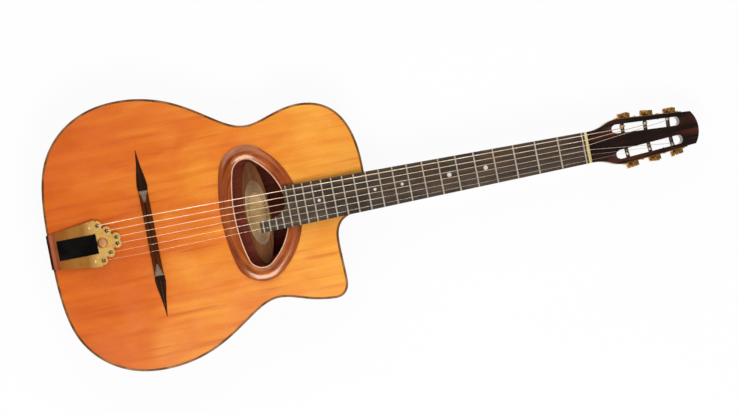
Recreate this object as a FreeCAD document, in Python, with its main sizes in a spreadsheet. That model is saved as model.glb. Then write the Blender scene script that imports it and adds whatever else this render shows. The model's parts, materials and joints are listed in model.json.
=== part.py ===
"""Gypsy jazz guitar with a D-shaped soundhole, twelve frets clear of the body, a cutaway, a floating
bridge with moustaches, an inner resonator and a slotted head with open worm-gear tuners.

The guitar lies on its back. +X runs along the neck to the head, +Y to the bass side and +Z up out of
the soundboard. The origin is on the back's outer face, under the saddle line. Lengths are millimetres.
"""
import FreeCAD, Part
import math
import os

from FreeCAD import Placement, Rotation, Vector

SIZES = (
    # The scale and the body's outline
    ("scale_length", 640.0),
    ("tail_distance", 152.5),
    ("joint_gap", 1.5),
    ("lower_bout_width", 397.2),
    ("waist_width", 256.4),
    ("upper_bout_width", 289.0),
    ("heel_corner_bass", 28.0),
    ("heel_corner_treble", 23.0),
    ("body_depth", 104.0),
    ("dome_radius", 4500.0),
    ("soundboard_thickness", 2.6),
    ("back_thickness", 3.0),
    ("rim_thickness", 3.3),
    ("binding_height", 6.0),
    ("lining_width", 6.0),
    ("lining_height", 14.0),
    ("neck_block_length", 48.0),
    ("neck_block_half_width", 40.0),
    ("tail_block_length", 22.0),
    ("tail_block_half_width", 42.0),
    # Ladder braces
    ("brace_width", 7.0),
    ("top_brace_height", 15.0),
    ("back_brace_height", 12.0),
    # The D-shaped soundhole, its pale inner binding and its raised ring
    ("hole_near_joint", 119.7),
    ("hole_across", 76.7),
    ("hole_flat_radius", 247.0),
    ("hole_round_radius", 96.0),
    ("hole_corner_radius", 20.0),
    ("hole_binding_width", 1.5),
    ("hole_binding_rise", 2.3),
    ("ring_width", 19.0),
    ("ring_rise", 3.3),
    ("ring_edge_rise", 0.9),
    # The inner resonator, its reflector and the blank label
    ("resonator_length", 270.0),
    ("resonator_width", 210.0),
    ("resonator_height", 44.0),
    ("resonator_wall", 3.0),
    ("resonator_from_hole", 14.2),
    ("reflector_from_hole", 14.4),
    ("reflector_length", 151.0),
    ("reflector_width", 37.0),
    ("reflector_thickness", 2.5),
    ("port_length", 142.0),
    ("port_width", 60.0),
    ("label_length", 96.0),
    ("label_width", 33.0),
    ("label_thickness", 0.4),
    # The neck, its heel and the fingerboard
    ("neck_pitch", 1.2),
    ("board_lift", 14.4),
    ("board_thickness", 6.0),
    ("nut_width", 46.0),
    ("board_width_at_joint", 56.5),
    ("board_overhang", 4.6),
    ("tongue_step_bass", 2.0),
    ("tongue_edge_treble", 13.8),
    ("tongue_curve_length", 30.0),
    ("neck_depth_nut", 15.0),
    ("neck_depth_joint", 18.0),
    ("heel_bottom_gap", 4.0),
    ("heel_cap_thickness", 3.0),
    ("heel_reach", 60.0),
    ("heel_foot_reach", 20.0),
    ("heel_foot_half_width", 14.5),
    ("heel_top_half_width", 22.0),
    ("tenon_length", 22.0),
    ("tenon_width", 22.0),
    ("tenon_height", 62.0),
    ("wedge_inset", 1.0),
    ("bar_length", 290.0),
    ("bar_width", 8.0),
    ("bar_height", 7.0),
    ("bar_start", 12.0),
    # Frets, markers and nut
    ("fret_crown_width", 2.3),
    ("fret_crown_height", 1.1),
    ("fret_tang_width", 0.6),
    ("fret_tang_depth", 1.6),
    ("large_marker_diameter", 6.4),
    ("small_marker_diameter", 4.4),
    ("marker_depth", 1.4),
    ("nut_thickness", 4.0),
    ("nut_gap", 3.5),
    ("nut_rise", 2.2),
    # The slotted head
    ("head_angle", 14.0),
    ("head_length", 170.0),
    ("head_thickness", 13.0),
    ("veneer_thickness", 1.3),
    ("head_shoulder", 42.8),
    ("head_shoulder_width", 65.6),
    ("head_corner", 161.6),
    ("head_corner_width", 48.0),
    ("slot_start", 39.2),
    ("slot_end", 142.8),
    ("slot_width", 13.0),
    ("slot_start_offset", 19.2),
    ("slot_end_offset", 13.2),
    ("ramp_length", 14.0),
    ("ramp_depth", 3.0),
    # Tuners
    ("first_roller", 58.2),
    ("roller_spacing", 35.0),
    ("roller_drop", 5.5),
    ("roller_diameter", 6.0),
    ("roller_clearance", 0.2),
    ("roller_tail_diameter", 4.0),
    ("roller_tail_length", 5.0),
    ("roller_stub_diameter", 4.4),
    ("string_hole_diameter", 1.6),
    ("plate_thickness", 1.2),
    ("plate_height", 13.2),
    ("plate_margin", 11.5),
    ("gear_teeth", 14),
    ("gear_module", 0.8),
    ("gear_thickness", 2.6),
    ("gear_centre_out", 5.2),
    ("gear_backlash", 0.4),
    ("worm_pitch_radius", 2.7),
    ("worm_length", 8.4),
    ("worm_shaft_diameter", 2.6),
    ("shaft_clearance", 0.1),
    ("lug_thickness", 1.5),
    ("lug_width", 6.6),
    ("lug_gap", 0.35),
    ("gear_screw_head", 4.6),
    ("button_length", 19.0),
    ("button_width", 16.5),
    ("button_depth", 7.6),
    ("button_collar_diameter", 6.4),
    ("button_collar_length", 4.0),
    ("button_gap", 1.2),
    # Bridge and moustaches
    ("bridge_length", 126.0),
    ("bridge_foot_width", 13.4),
    ("bridge_crest_width", 2.4),
    ("bridge_end_height", 5.2),
    ("bridge_facet_length", 17.0),
    ("bridge_clearance", 0.3),
    ("bridge_arch_length", 56.0),
    ("bridge_arch_height", 2.6),
    ("saddle_shift", 2.6),
    ("moustache_gap", 0.4),
    ("moustache_length", 59.5),
    ("moustache_width", 15.6),
    ("moustache_height", 5.2),
    # Strings
    ("string_action", 3.0),
    ("string_spread_saddle", 53.0),
    ("string_spread_nut", 36.8),
    ("string_clearance", 0.5),
    ("nut_notch_gap", 0.1),
    ("string_bend", 2.0),
    # Tailpiece
    ("tail_width_end", 50.0),
    ("tail_width_wide", 69.5),
    ("tail_wide_at", 72.0),
    ("tail_plate_thickness", 1.5),
    ("tail_skirt_depth", 4.0),
    ("tail_tilt", 3.6),
    ("tail_seat_gap", 0.3),
    ("tail_angle_gap", 0.05),
    ("tail_drop", 42.0),
    ("lobe_radius", 6.6),
    ("eyelet_radius", 3.3),
    ("eyelet_bore", 1.6),
    ("eyelet_rise", 0.7),
    ("boss_radius", 7.4),
    ("boss_rise", 1.1),
    ("rivet_radius", 1.6),
    ("insert_start", 12.3),
    ("insert_length", 58.1),
    ("insert_width", 28.8),
    ("insert_rise", 1.4),
    ("insert_clearance", 0.1),
    ("ball_diameter", 4.2),
    ("ball_length", 3.4),
    # Wood screws
    ("screw_head_diameter", 4.6),
    ("screw_head_height", 1.6),
    ("screw_shank_diameter", 2.2),
    ("screw_shank_length", 8.0),
    # One overrun for every cutting tool
    ("overrun", 5.0),
)

# The outline as shares: a station's share of the body's length from the tail, and a share of the half
# width of the bout that it belongs to. The bass list runs from the neck round to the tail.
BASS_OUTLINE_SHARES = (
    (0.9958, 0.484, "upper"),
    (0.9798, 0.685, "upper"),
    (0.9554, 0.827, "upper"),
    (0.9161, 0.938, "upper"),
    (0.8440, 1.000, "upper"),
    (0.7590, 0.957, "upper"),
    (0.6635, 1.000, "waist"),
    (0.5616, 0.760, "lower"),
    (0.4512, 0.916, "lower"),
    (0.3662, 0.981, "lower"),
    (0.2813, 1.000, "lower"),
    (0.1921, 0.970, "lower"),
    (0.1008, 0.855, "lower"),
    (0.0372, 0.665, "lower"),
    (0.0074, 0.403, "lower"),
)
HORN_OUTLINE_SHARES = (
    (0.7590, 0.957, "upper"),
    (0.8290, 0.998, "upper"),
    (0.8631, 0.987, "upper"),
    (0.8822, 0.920, "upper"),
    (0.8868, 0.817, "upper"),
    (0.8850, 0.588, "upper"),
    (0.8845, 0.464, "upper"),
    (0.8895, 0.332, "upper"),
    (0.9050, 0.249, "upper"),
    (0.9310, 0.201, "upper"),
    (0.9650, 0.176, "upper"),
)
SAMPLES_PER_SPAN = 5
TOP_BRACE_SHARES = (0.130, 0.255, 0.375, 0.520, 0.835)
BACK_BRACE_SHARES = (0.140, 0.330, 0.520, 0.710)
LARGE_MARKER_FRETS = (5, 7)
SMALL_MARKER_FRETS = (10, 12, 17)
LAST_FULL_FRET = 20
LAST_FRET = 24
STRING_COUNT = 6
STRING_DIAMETERS = (1.15, 0.90, 0.70, 0.60, 0.38, 0.28)
WOUND_COUNT = 4
TUNERS_PER_SIDE = 3
STRING_HOLE_SHARES = (0.0, 0.08, 0.25)
PRESSURE_ANGLE = 20.0
THREAD_TURNS = 2.5
BUTTON_TURNS = (8.0, -6.0, 4.0, -4.0, 10.0, -8.0)
# The gear's and the worm's teeth beyond and inside the pitch line, as shares of the module
GEAR_TIP_SHARE, GEAR_ROOT_SHARE = 0.90, 1.15
WORM_TIP_SHARE, WORM_ROOT_SHARE = 0.85, 1.05
# The tongue's concave arc passes this share of its length from the step and of the step's width
TONGUE_BEND_SHARES = (0.36, 0.30)
# The heel seen from below: shares of its reach and of its half width
HEEL_PLAN_SHARES = ((0.0, 1.0), (0.45, 0.88), (0.85, 0.50), (1.0, 0.0))
# The heel's sections: a share of its height below the shaft, of its reach and of its half width at the top
HEEL_SHARES = ((0.0, 1.0, 1.0), (0.12, 0.72, 0.97), (0.30, 0.38, 0.86), (0.58, 0.12, 0.50), (1.0, 0.0, 0.0))
# The head's flare: shares of the shoulder's distance from the nut and of the widening up to it
FLARE_SHARES = ((0.36, 0.12), (0.72, 0.66), (0.88, 0.90))
RAMP_WIDTH_SHARE = 0.7
# A plate's screws: shares of its margin, of the roller spacing and of a screw head
PLATE_SCREW_SHARES = (0.72, 0.42, 0.80)
# The moustaches: shares of their length, of their width and of their height, and where their ridge starts
MOUSTACHE_SHARES = (
    (0.0, 0.94, 1.0),
    (0.12, 1.0, 0.94),
    (0.34, 0.78, 0.72),
    (0.55, 0.46, 0.50),
    (0.76, 0.25, 0.32),
    (1.0, 0.05, 0.16),
)
MOUSTACHE_SHOULDER_SHARE = 0.35
# The tailpiece: eyelets and rivets as shares of the tray's widest place and of its half width there
EYELET_SHARES = ((1.042, 0.740), (1.213, 0.460), (1.381, 0.132))
RIVET_SHARES = (0.874, 0.702)
BOSS_SHARE = 1.087
# The angle's screws: shares of its width and of its drop
ANGLE_SCREW_SHARES = ((0.0, 0.80), (0.30, 0.38), (-0.30, 0.38))
# A string's bend takes at most this share of the shorter run beside it
FILLET_SHARE = 0.45
TUBE_ERROR_SHARE = 0.02
# A round head's profile as shares of its radius and of its height
HEAD_SHARES = ((0.0, 0.0), (1.0, 0.0), (1.0, 0.30), (0.88, 0.64), (0.62, 0.89), (0.30, 1.0), (0.0, 1.0))
# A head's slot: its width as a share of the head's diameter, and its floor as a share of the head's height
HEAD_SLOT_SHARES = (0.17, 0.55)
GEAR_HEAD_RISE_SHARE = 0.33

doc = FreeCAD.newDocument("gypsy_jazz_guitar")
sheet = doc.addObject("Spreadsheet::Sheet", "Sizes")
for row, (alias, number) in enumerate(SIZES, start=1):
    sheet.set(f"A{row}", alias)
    sheet.set(f"B{row}", str(number))
    sheet.setAlias(f"B{row}", alias)
doc.recompute()


class Values:
    """The sheet's cells as plain numbers, read once."""


s = Values()
for alias, number in SIZES:
    setattr(s, alias, float(sheet.get(alias)))

X_AXIS, Y_AXIS, Z_AXIS = Vector(1, 0, 0), Vector(0, 1, 0), Vector(0, 0, 1)
nodes = []

# Places that several pieces share
body_end = s.scale_length / 2 - s.joint_gap
body_length = body_end + s.tail_distance
dome_centre_z = s.body_depth - s.dome_radius


def dome_z(x, y, depth=0.0):
    """Height of the soundboard's outer face at x, y, or of the face that lies depth below it."""
    return dome_centre_z + math.sqrt((s.dome_radius - depth) ** 2 - x * x - y * y)


board_top_z = dome_z(body_end, 0.0) + s.board_lift
neck_frame = Placement(Vector(body_end, 0, board_top_z), Rotation(Y_AXIS, s.neck_pitch))


def fret_x(number):
    """A fret's place along the neck, measured from the body's end in the neck's frame."""
    return s.joint_gap + s.scale_length * (2.0 ** (-number / 12.0) - 0.5)


zero_fret_x = fret_x(0)
nut_front_x = zero_fret_x + s.nut_gap
nut_back_x = nut_front_x + s.nut_thickness
head_frame = neck_frame.multiply(
    Placement(Vector(nut_back_x, 0, -s.board_thickness), Rotation(Y_AXIS, s.head_angle))
)
board_taper = (s.board_width_at_joint - s.nut_width) / 2 / (s.scale_length / 2)


def board_half_width(x):
    """Half of the fingerboard's width at x in the neck's frame."""
    return s.nut_width / 2 + (zero_fret_x - x) * board_taper


# Helpers for the document's objects
def keep(obj, label):
    """Marks an object as a finished sub-part under its name."""
    obj.Label = label
    nodes.append(obj)
    return obj


def feature(label, shape):
    obj = doc.addObject("Part::Feature", label)
    obj.Shape = shape
    return obj


def bind(obj, **expressions):
    for prop, expression in expressions.items():
        obj.setExpression(prop, expression)
    return obj


def box(label, length, width, height, placement=Placement()):
    """A block whose sizes are expressions; its corner is at the placement's base."""
    obj = doc.addObject("Part::Box", label)
    bind(obj, Length=length, Width=width, Height=height)
    obj.Placement = placement
    return obj


def cylinder(label, radius, height, placement=Placement()):
    obj = doc.addObject("Part::Cylinder", label)
    bind(obj, Radius=radius, Height=height)
    obj.Placement = placement
    return obj


def boolean(kind, label, base, tool):
    obj = doc.addObject(f"Part::{kind}", label)
    obj.Base = base
    obj.Tool = tool
    return obj


def cut(label, base, tool):
    return boolean("Cut", label, base, tool)


def common(label, base, tool):
    return boolean("Common", label, base, tool)


def union(label, parts):
    obj = doc.addObject("Part::MultiFuse", label)
    obj.Shapes = parts
    return obj


def extrude(label, wire, height, direction=Z_AXIS):
    """Raises a closed wire's object along a direction by an expression."""
    obj = doc.addObject("Part::Extrusion", label)
    obj.Base = wire
    obj.DirMode = "Custom"
    obj.Dir = direction
    obj.Solid = True
    bind(obj, LengthFwd=height)
    return obj


def sketch_pad(label, outline, height, plane="XY_Plane", placement=Placement(), midplane=False):
    """A body whose one pad follows an outline: each item is two points for a line or three for an arc."""
    body = doc.addObject("PartDesign::Body", label)
    sketch = body.newObject("Sketcher::SketchObject", label + "_outline")
    origin = [f for f in body.Origin.OriginFeatures if f.Role == plane][0]
    sketch.AttachmentSupport = (origin, [""])
    sketch.MapMode = "FlatFace"
    for item in outline:
        points = [Vector(x, y, 0) for x, y in item]
        if len(points) == 2:
            sketch.addGeometry(Part.LineSegment(*points), False)
        else:
            sketch.addGeometry(Part.Arc(*points), False)
    pad = body.newObject("PartDesign::Pad", label + "_pad")
    pad.Profile = sketch
    bind(pad, Length=height)
    pad.Midplane = midplane
    body.Placement = placement
    return body


def polygon(points):
    """Consecutive corner pairs of a closed outline."""
    return [(points[i], points[(i + 1) % len(points)]) for i in range(len(points))]


def spline_edge(points):
    curve = Part.BSplineCurve()
    curve.interpolate(points)
    return curve.toShape()


# The body's outline
half_widths = {
    "upper": s.upper_bout_width / 2,
    "waist": s.waist_width / 2,
    "lower": s.lower_bout_width / 2,
}


def outline_point(station_share, width_share, bout, side):
    return Vector(
        station_share * body_length - s.tail_distance,
        side * width_share * half_widths[bout],
        0,
    )


def outline_curve():
    """The rim from the neck's bass corner round the tail and the horn to the neck's treble corner."""
    bass = [outline_point(*point, 1) for point in BASS_OUTLINE_SHARES]
    lower = [outline_point(*point, -1) for point in reversed(BASS_OUTLINE_SHARES[6:])]
    horn = [outline_point(*point, -1) for point in HORN_OUTLINE_SHARES]
    first = [Vector(body_end, s.heel_corner_bass, 0)]
    tail = [Vector(-s.tail_distance, 0, 0)]
    last = [Vector(body_end, -s.heel_corner_treble, 0)]
    points = first + bass + tail + lower + horn + last
    curve = Part.BSplineCurve()
    curve.interpolate(points)
    return curve, len(points) - 1


rim_curve, rim_spans = outline_curve()


def rim_wire(inset, z):
    """The rim's outline moved inwards by inset and closed by the flat under the heel."""
    count = rim_spans * SAMPLES_PER_SPAN
    first, last = rim_curve.FirstParameter, rim_curve.LastParameter
    flat_x = body_end - inset
    points = []
    for index in range(count + 1):
        at = first + (last - first) * index / count
        point, along = rim_curve.value(at), rim_curve.tangent(at)[0]
        inward = Vector(-along.y, along.x, 0)
        moved = point + inward * inset
        if index not in (0, count) and moved.x > flat_x:
            continue
        points.append(Vector(moved.x, moved.y, z))
    points[0].x = flat_x
    points[-1].x = flat_x
    return Part.Wire([spline_edge(points), Part.LineSegment(points[-1], points[0]).toShape()])


def rim_prism(label, inset, z, height):
    wire = feature(label + "_wire", rim_wire(inset, z))
    return extrude(label, wire, height)


def dome(label, radius):
    """A ball whose cap is the soundboard's outer face, or a face some way below it."""
    obj = doc.addObject("Part::Sphere", label)
    bind(obj, Radius=radius)
    obj.Placement = Placement(Vector(0, 0, dome_centre_z), Rotation(Y_AXIS, 90))
    return obj


tall = "Sizes.body_depth + Sizes.overrun"
outer_prism = rim_prism("outer_prism", 0.0, 0.0, tall)
plate_prism = rim_prism("plate_prism", s.rim_thickness, 0.0, tall)
lining_inner_prism = rim_prism("lining_inner_prism", s.rim_thickness + s.lining_width, 0.0, tall)

outer_dome = dome("outer_dome", "Sizes.dome_radius")
inner_dome = dome("inner_dome", "Sizes.dome_radius - Sizes.soundboard_thickness")
binding_dome = dome("binding_dome", "Sizes.dome_radius - Sizes.binding_height")
lining_dome = dome("lining_dome", "Sizes.dome_radius - Sizes.soundboard_thickness - Sizes.lining_height")


rim_ring = cut("rim_ring", outer_prism, plate_prism)
lining_ring = cut("lining_ring", plate_prism, lining_inner_prism)

# Bindings
top_binding = cut("top_binding_piece", common("binding_capped", rim_ring, outer_dome), binding_dome)
keep(top_binding, "top_binding")
slab_width = "Sizes.lower_bout_width + 2 * Sizes.overrun"
slab_length = "Sizes.scale_length + Sizes.tail_distance"
slab_corner_y = -s.lower_bout_width / 2 - s.overrun
slab_corner_x = -s.tail_distance - s.overrun


def slab_at(z):
    """The corner of a slab that covers the whole body from height z."""
    return Placement(Vector(slab_corner_x, slab_corner_y, z), Rotation())


low_slab = box("low_slab", slab_length, slab_width, "Sizes.binding_height", slab_at(0.0))
keep(common("back_binding_piece", rim_ring, low_slab), "back_binding")

# The soundboard's hole, in a frame that touches the dome over the middle of the hole
hole_near_x = body_end - s.hole_near_joint
hole_flat_x = hole_near_x - s.hole_across
hole_middle_x = (hole_near_x + hole_flat_x) / 2
hole_slope = math.degrees(math.asin(hole_middle_x / s.dome_radius))
hole_frame = Placement(
    Vector(hole_middle_x, 0, dome_z(hole_middle_x, 0.0)), Rotation(Y_AXIS, hole_slope)
)


def hole_wire(grow, z):
    """The D: a nearly flat arc towards the bridge, a round arc towards the neck and two corner arcs."""
    flat_radius = s.hole_flat_radius + grow
    round_radius = s.hole_round_radius + grow
    corner_radius = s.hole_corner_radius + grow
    flat_centre = -s.hole_across / 2 + s.hole_flat_radius
    round_centre = s.hole_across / 2 - s.hole_round_radius
    flat_reach = s.hole_flat_radius - s.hole_corner_radius
    round_reach = s.hole_round_radius - s.hole_corner_radius
    apart = flat_centre - round_centre
    from_round = (round_reach ** 2 - flat_reach ** 2 + apart ** 2) / (2 * apart)
    corner_x = round_centre + from_round
    corner_y = math.sqrt(round_reach ** 2 - from_round ** 2)
    to_flat = Vector(corner_x - flat_centre, corner_y, 0).normalize()
    to_round = Vector(corner_x - round_centre, corner_y, 0).normalize()
    corner = Vector(corner_x, corner_y, 0)
    flat_join = corner + to_flat * corner_radius
    round_join = corner + to_round * corner_radius
    corner_top = corner + (to_flat + to_round).normalize() * corner_radius

    def lower(point):
        return Vector(point.x, -point.y, 0)

    edges = [
        Part.Arc(lower(flat_join), Vector(flat_centre - flat_radius, 0, 0), flat_join),
        Part.Arc(flat_join, corner_top, round_join),
        Part.Arc(round_join, Vector(round_centre + round_radius, 0, 0), lower(round_join)),
        Part.Arc(lower(round_join), lower(corner_top), lower(flat_join)),
    ]
    wire = Part.Wire([edge.toShape() for edge in edges])
    wire.translate(Vector(0, 0, z))
    return wire


def hole_prism(label, grow, low, height):
    """A D-shaped block in the hole's frame; low is its foot and height an expression."""
    wire = feature(label + "_wire", hole_wire(grow, low))
    block = extrude(label, wire, height)
    block.Placement = hole_frame
    return block


through = "2 * Sizes.soundboard_thickness + 2 * Sizes.overrun"
hole_low = -s.soundboard_thickness - s.overrun
board_hole = hole_prism("board_hole", s.hole_binding_width, hole_low, through)
plate_shell = cut("plate_shell", common("plate_capped", plate_prism, outer_dome), inner_dome)
keep(cut("soundboard_piece", plate_shell, board_hole), "soundboard")

binding_foot = -s.soundboard_thickness - s.overrun / 2
binding_outer = hole_prism(
    "hole_binding_outer",
    s.hole_binding_width,
    binding_foot,
    "Sizes.soundboard_thickness + Sizes.overrun / 2 + Sizes.hole_binding_rise",
)
hole_core = hole_prism("hole_core", 0.0, hole_low, through)
binding_tube = cut("hole_binding_tube", binding_outer, hole_core)
keep(cut("soundhole_binding_piece", binding_tube, inner_dome), "soundhole_binding")


def ring_section():
    """The raised ring's cross-section at the D's flat side: short walls and a rounded crown."""
    inner = -s.hole_across / 2 - s.hole_binding_width
    outer = inner - s.ring_width
    foot = -s.overrun / 2
    corners = [
        Vector(inner, 0, foot),
        Vector(inner, 0, s.ring_edge_rise + s.hole_binding_rise / 2),
        Vector(outer, 0, s.ring_edge_rise),
        Vector(outer, 0, foot),
    ]
    crown_top = Vector((inner + outer) / 2, 0, s.ring_rise)
    return Part.Wire(
        [
            Part.LineSegment(corners[0], corners[1]).toShape(),
            Part.Arc(corners[1], crown_top, corners[2]).toShape(),
            Part.LineSegment(corners[2], corners[3]).toShape(),
            Part.LineSegment(corners[3], corners[0]).toShape(),
        ]
    )


ring_path = hole_wire(s.hole_binding_width, 0.0)
ring_sweep = feature("ring_sweep", ring_path.makePipeShell([ring_section()], True, False, 2))
ring_sweep.Placement = hole_frame
keep(cut("soundhole_ring_piece", ring_sweep, outer_dome), "soundhole_ring")

# The back
back_slab = box("back_slab", slab_length, slab_width, "Sizes.back_thickness", slab_at(0.0))
keep(common("back_piece", plate_prism, back_slab), "back")

# The neck's tenon, which the sides and the neck block make room for
tenon_top_z = dome_z(body_end, 0.0, s.soundboard_thickness) - s.overrun
tenon_corner = Vector(body_end - s.tenon_length, -s.tenon_width / 2, tenon_top_z - s.tenon_height)
tenon = box(
    "tenon",
    "Sizes.tenon_length + Sizes.overrun",
    "Sizes.tenon_width",
    "Sizes.tenon_height",
    Placement(tenon_corner, Rotation()),
)

# Sides, split at the tail's seam
wall_ring = cut("wall_ring", common("wall_capped", rim_ring, binding_dome), low_slab)
side_walls = cut("side_walls", wall_ring, tenon)
half_box_y = {"bass_side": 0.0, "treble_side": slab_corner_y}
for side_name, corner_y in half_box_y.items():
    half = box(
        side_name + "_half",
        slab_length,
        "Sizes.lower_bout_width / 2 + Sizes.overrun",
        tall,
        Placement(Vector(slab_corner_x, corner_y, 0), Rotation()),
    )
    keep(common(side_name + "_piece", side_walls, half), side_name)

# Neck block and tail block, shaped to the rim, and the linings between them
block_interior = common("block_interior", plate_prism, inner_dome)
block_room = "Sizes.body_depth - Sizes.back_thickness + Sizes.overrun"
neck_block_x = body_end - s.rim_thickness - s.neck_block_length
neck_block_box = box(
    "neck_block_box",
    "Sizes.neck_block_length",
    "2 * Sizes.neck_block_half_width",
    block_room,
    Placement(Vector(neck_block_x, -s.neck_block_half_width, s.back_thickness), Rotation()),
)
neck_block_full = common("neck_block_full", block_interior, neck_block_box)
keep(cut("neck_block_piece", neck_block_full, tenon), "neck_block")
tail_block_box = box(
    "tail_block_box",
    "Sizes.rim_thickness + Sizes.tail_block_length",
    "2 * Sizes.tail_block_half_width",
    block_room,
    Placement(Vector(-s.tail_distance, -s.tail_block_half_width, s.back_thickness), Rotation()),
)
tail_block_full = common("tail_block_full", block_interior, tail_block_box)

lining_top = cut("lining_top", common("lining_capped", lining_ring, inner_dome), lining_dome)
lining_low_box = box(
    "lining_low_box",
    slab_length,
    slab_width,
    "Sizes.lining_height",
    slab_at(s.back_thickness),
)
lining_low = common("lining_low", lining_ring, lining_low_box)
lining_pair = union("lining_pair", [lining_top, lining_low])
obstacles = union("lining_obstacles", [neck_block_box, tail_block_box])
keep(cut("linings_piece", lining_pair, obstacles), "linings")

# Ladder braces under the soundboard and on the back
interior = common("brace_interior", lining_inner_prism, inner_dome)


def brace_bar(label, share, height, z):
    x = share * body_length - s.tail_distance - s.brace_width / 2
    place = Placement(Vector(x, slab_corner_y, z), Rotation())
    return box(label, "Sizes.brace_width", slab_width, height, place)


brace_room = "Sizes.body_depth"
brace_dome = dome(
    "brace_dome", "Sizes.dome_radius - Sizes.soundboard_thickness - Sizes.top_brace_height"
)
top_bars = [
    brace_bar(f"top_bar_{index}", share, brace_room, s.back_thickness)
    for index, share in enumerate(TOP_BRACE_SHARES, start=1)
]
top_brace_set = cut(
    "top_brace_set", common("top_brace_slices", interior, union("top_bars", top_bars)), brace_dome
)
back_bars = [
    brace_bar(f"back_bar_{index}", share, "Sizes.back_brace_height", s.back_thickness)
    for index, share in enumerate(BACK_BRACE_SHARES, start=1)
]
keep(common("back_brace_set", interior, union("back_bars", back_bars)), "back_braces")
top_keep_out = union("top_keep_out", [neck_block_box, board_hole, tail_block_box])
keep(cut("top_braces_piece", top_brace_set, top_keep_out), "top_braces")

# The inner resonator stands on the back braces. Its port lies under the hole, part-covered by the
# reflector.
resonator_floor_z = s.back_thickness + s.back_brace_height
resonator_end_x = hole_near_x + s.resonator_from_hole
resonator_middle = Vector(resonator_end_x - s.resonator_length / 2, 0, resonator_floor_z)


def oval(label, length_x, length_y, middle, height):
    """A block with an elliptic outline; its longer axis may lie along X or Y."""
    long_y = length_y > length_x
    ellipse = Part.Ellipse(Vector(), max(length_x, length_y) / 2, min(length_x, length_y) / 2)
    wire = feature(label + "_wire", Part.Wire(ellipse.toShape()))
    block = extrude(label, wire, height)
    block.Placement = Placement(middle, Rotation(Z_AXIS, 90 if long_y else 0))
    return block


wall = s.resonator_wall


def resonator_oval(label, middle, height):
    """A block with the resonator's outline."""
    return oval(label, s.resonator_length, s.resonator_width, middle, height)


resonator_outer = resonator_oval("resonator_outer", resonator_middle, "Sizes.resonator_height")
resonator_inner = oval(
    "resonator_inner",
    s.resonator_length - 2 * wall,
    s.resonator_width - 2 * wall,
    resonator_middle,
    "Sizes.resonator_height",
)
resonator_tube = cut("resonator_tube", resonator_outer, resonator_inner)
resonator_tube_top = resonator_middle + Vector(0, 0, s.resonator_height)
floor_plate = resonator_oval("resonator_floor_plate", resonator_middle, "Sizes.resonator_wall")
keep(floor_plate, "resonator_floor")
rim_cut = resonator_oval("rim_cut", resonator_middle, "Sizes.resonator_wall")
keep(cut("resonator_rim_piece", resonator_tube, rim_cut), "resonator_rim")
table_blank = resonator_oval("table_blank", resonator_tube_top, "Sizes.resonator_wall")
reflector_middle_x = hole_flat_x + s.reflector_from_hole + s.reflector_width / 2
reflector_base = Vector(reflector_middle_x, 0, resonator_tube_top.z + wall)
port_middle_x = resonator_end_x - s.port_width / 2 - wall * 2
port_middle = Vector(port_middle_x, 0, resonator_tube_top.z - s.overrun)
port_height = "Sizes.resonator_wall + 2 * Sizes.overrun"
port = oval("port", s.port_width, s.port_length, port_middle, port_height)
keep(cut("resonator_table_piece", table_blank, port), "resonator_table")
reflector_plate = oval(
    "reflector_plate",
    s.reflector_width,
    s.reflector_length,
    reflector_base,
    "Sizes.reflector_thickness",
)
keep(reflector_plate, "reflector")
label_base = reflector_base + Vector(0, 0, s.reflector_thickness)
label_sheet = oval("label_sheet", s.label_width, s.label_length, label_base, "Sizes.label_thickness")
keep(label_sheet, "label")

# The fingerboard: full width to the last full fret, then a tongue for the two treble strings
board_end_bass = fret_x(LAST_FULL_FRET) - s.board_overhang
board_end_treble = fret_x(LAST_FRET) - s.board_overhang
curve_end = board_end_bass - s.tongue_curve_length


def board_outline(inset=0.0):
    """Corners and one concave arc of the fingerboard in the neck's frame."""
    near = nut_front_x
    bend_along, bend_across = TONGUE_BEND_SHARES
    step_width = s.tongue_edge_treble + s.tongue_step_bass
    mid_x = board_end_bass - s.tongue_curve_length * bend_along
    mid_y = step_width * bend_across - s.tongue_edge_treble
    bass_near = (near, board_half_width(near) - inset)
    bass_far = (board_end_bass, board_half_width(board_end_bass) - inset)
    step = (board_end_bass, s.tongue_step_bass)
    curve_foot = (curve_end, -s.tongue_edge_treble)
    tongue = (board_end_treble, -s.tongue_edge_treble)
    tongue_out = (board_end_treble, -board_half_width(board_end_treble) + inset)
    treble_near = (near, -board_half_width(near) + inset)
    return [
        (bass_near, bass_far),
        (bass_far, step),
        (step, (mid_x, mid_y), curve_foot),
        (curve_foot, tongue),
        (tongue, tongue_out),
        (tongue_out, treble_near),
        (treble_near, bass_near),
    ]


def below(z):
    return neck_frame.multiply(Placement(Vector(0, 0, z), Rotation()))


board_blank = sketch_pad(
    "board_blank", board_outline(), "Sizes.board_thickness", placement=below(-s.board_thickness)
)


def fret_bar(number):
    """A half-round crown over a tang, wider than the fingerboard, in the neck's frame."""
    x = fret_x(number)
    half = s.fret_crown_width / 2
    reach = s.board_width_at_joint
    left, right = Vector(x - half, -reach, 0), Vector(x + half, -reach, 0)
    top = Vector(x, -reach, s.fret_crown_height)
    edges = [Part.Arc(left, top, right).toShape(), Part.LineSegment(right, left).toShape()]
    crown = Part.Face(Part.Wire(edges)).extrude(Vector(0, 2 * reach, 0))
    return crown.fuse(fret_tang(x, reach)).removeSplitter()


def fret_tang(x, reach):
    corner = Vector(x - s.fret_tang_width / 2, -reach, -s.fret_tang_depth)
    return Part.makeBox(s.fret_tang_width, 2 * reach, s.fret_tang_depth, corner)


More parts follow.
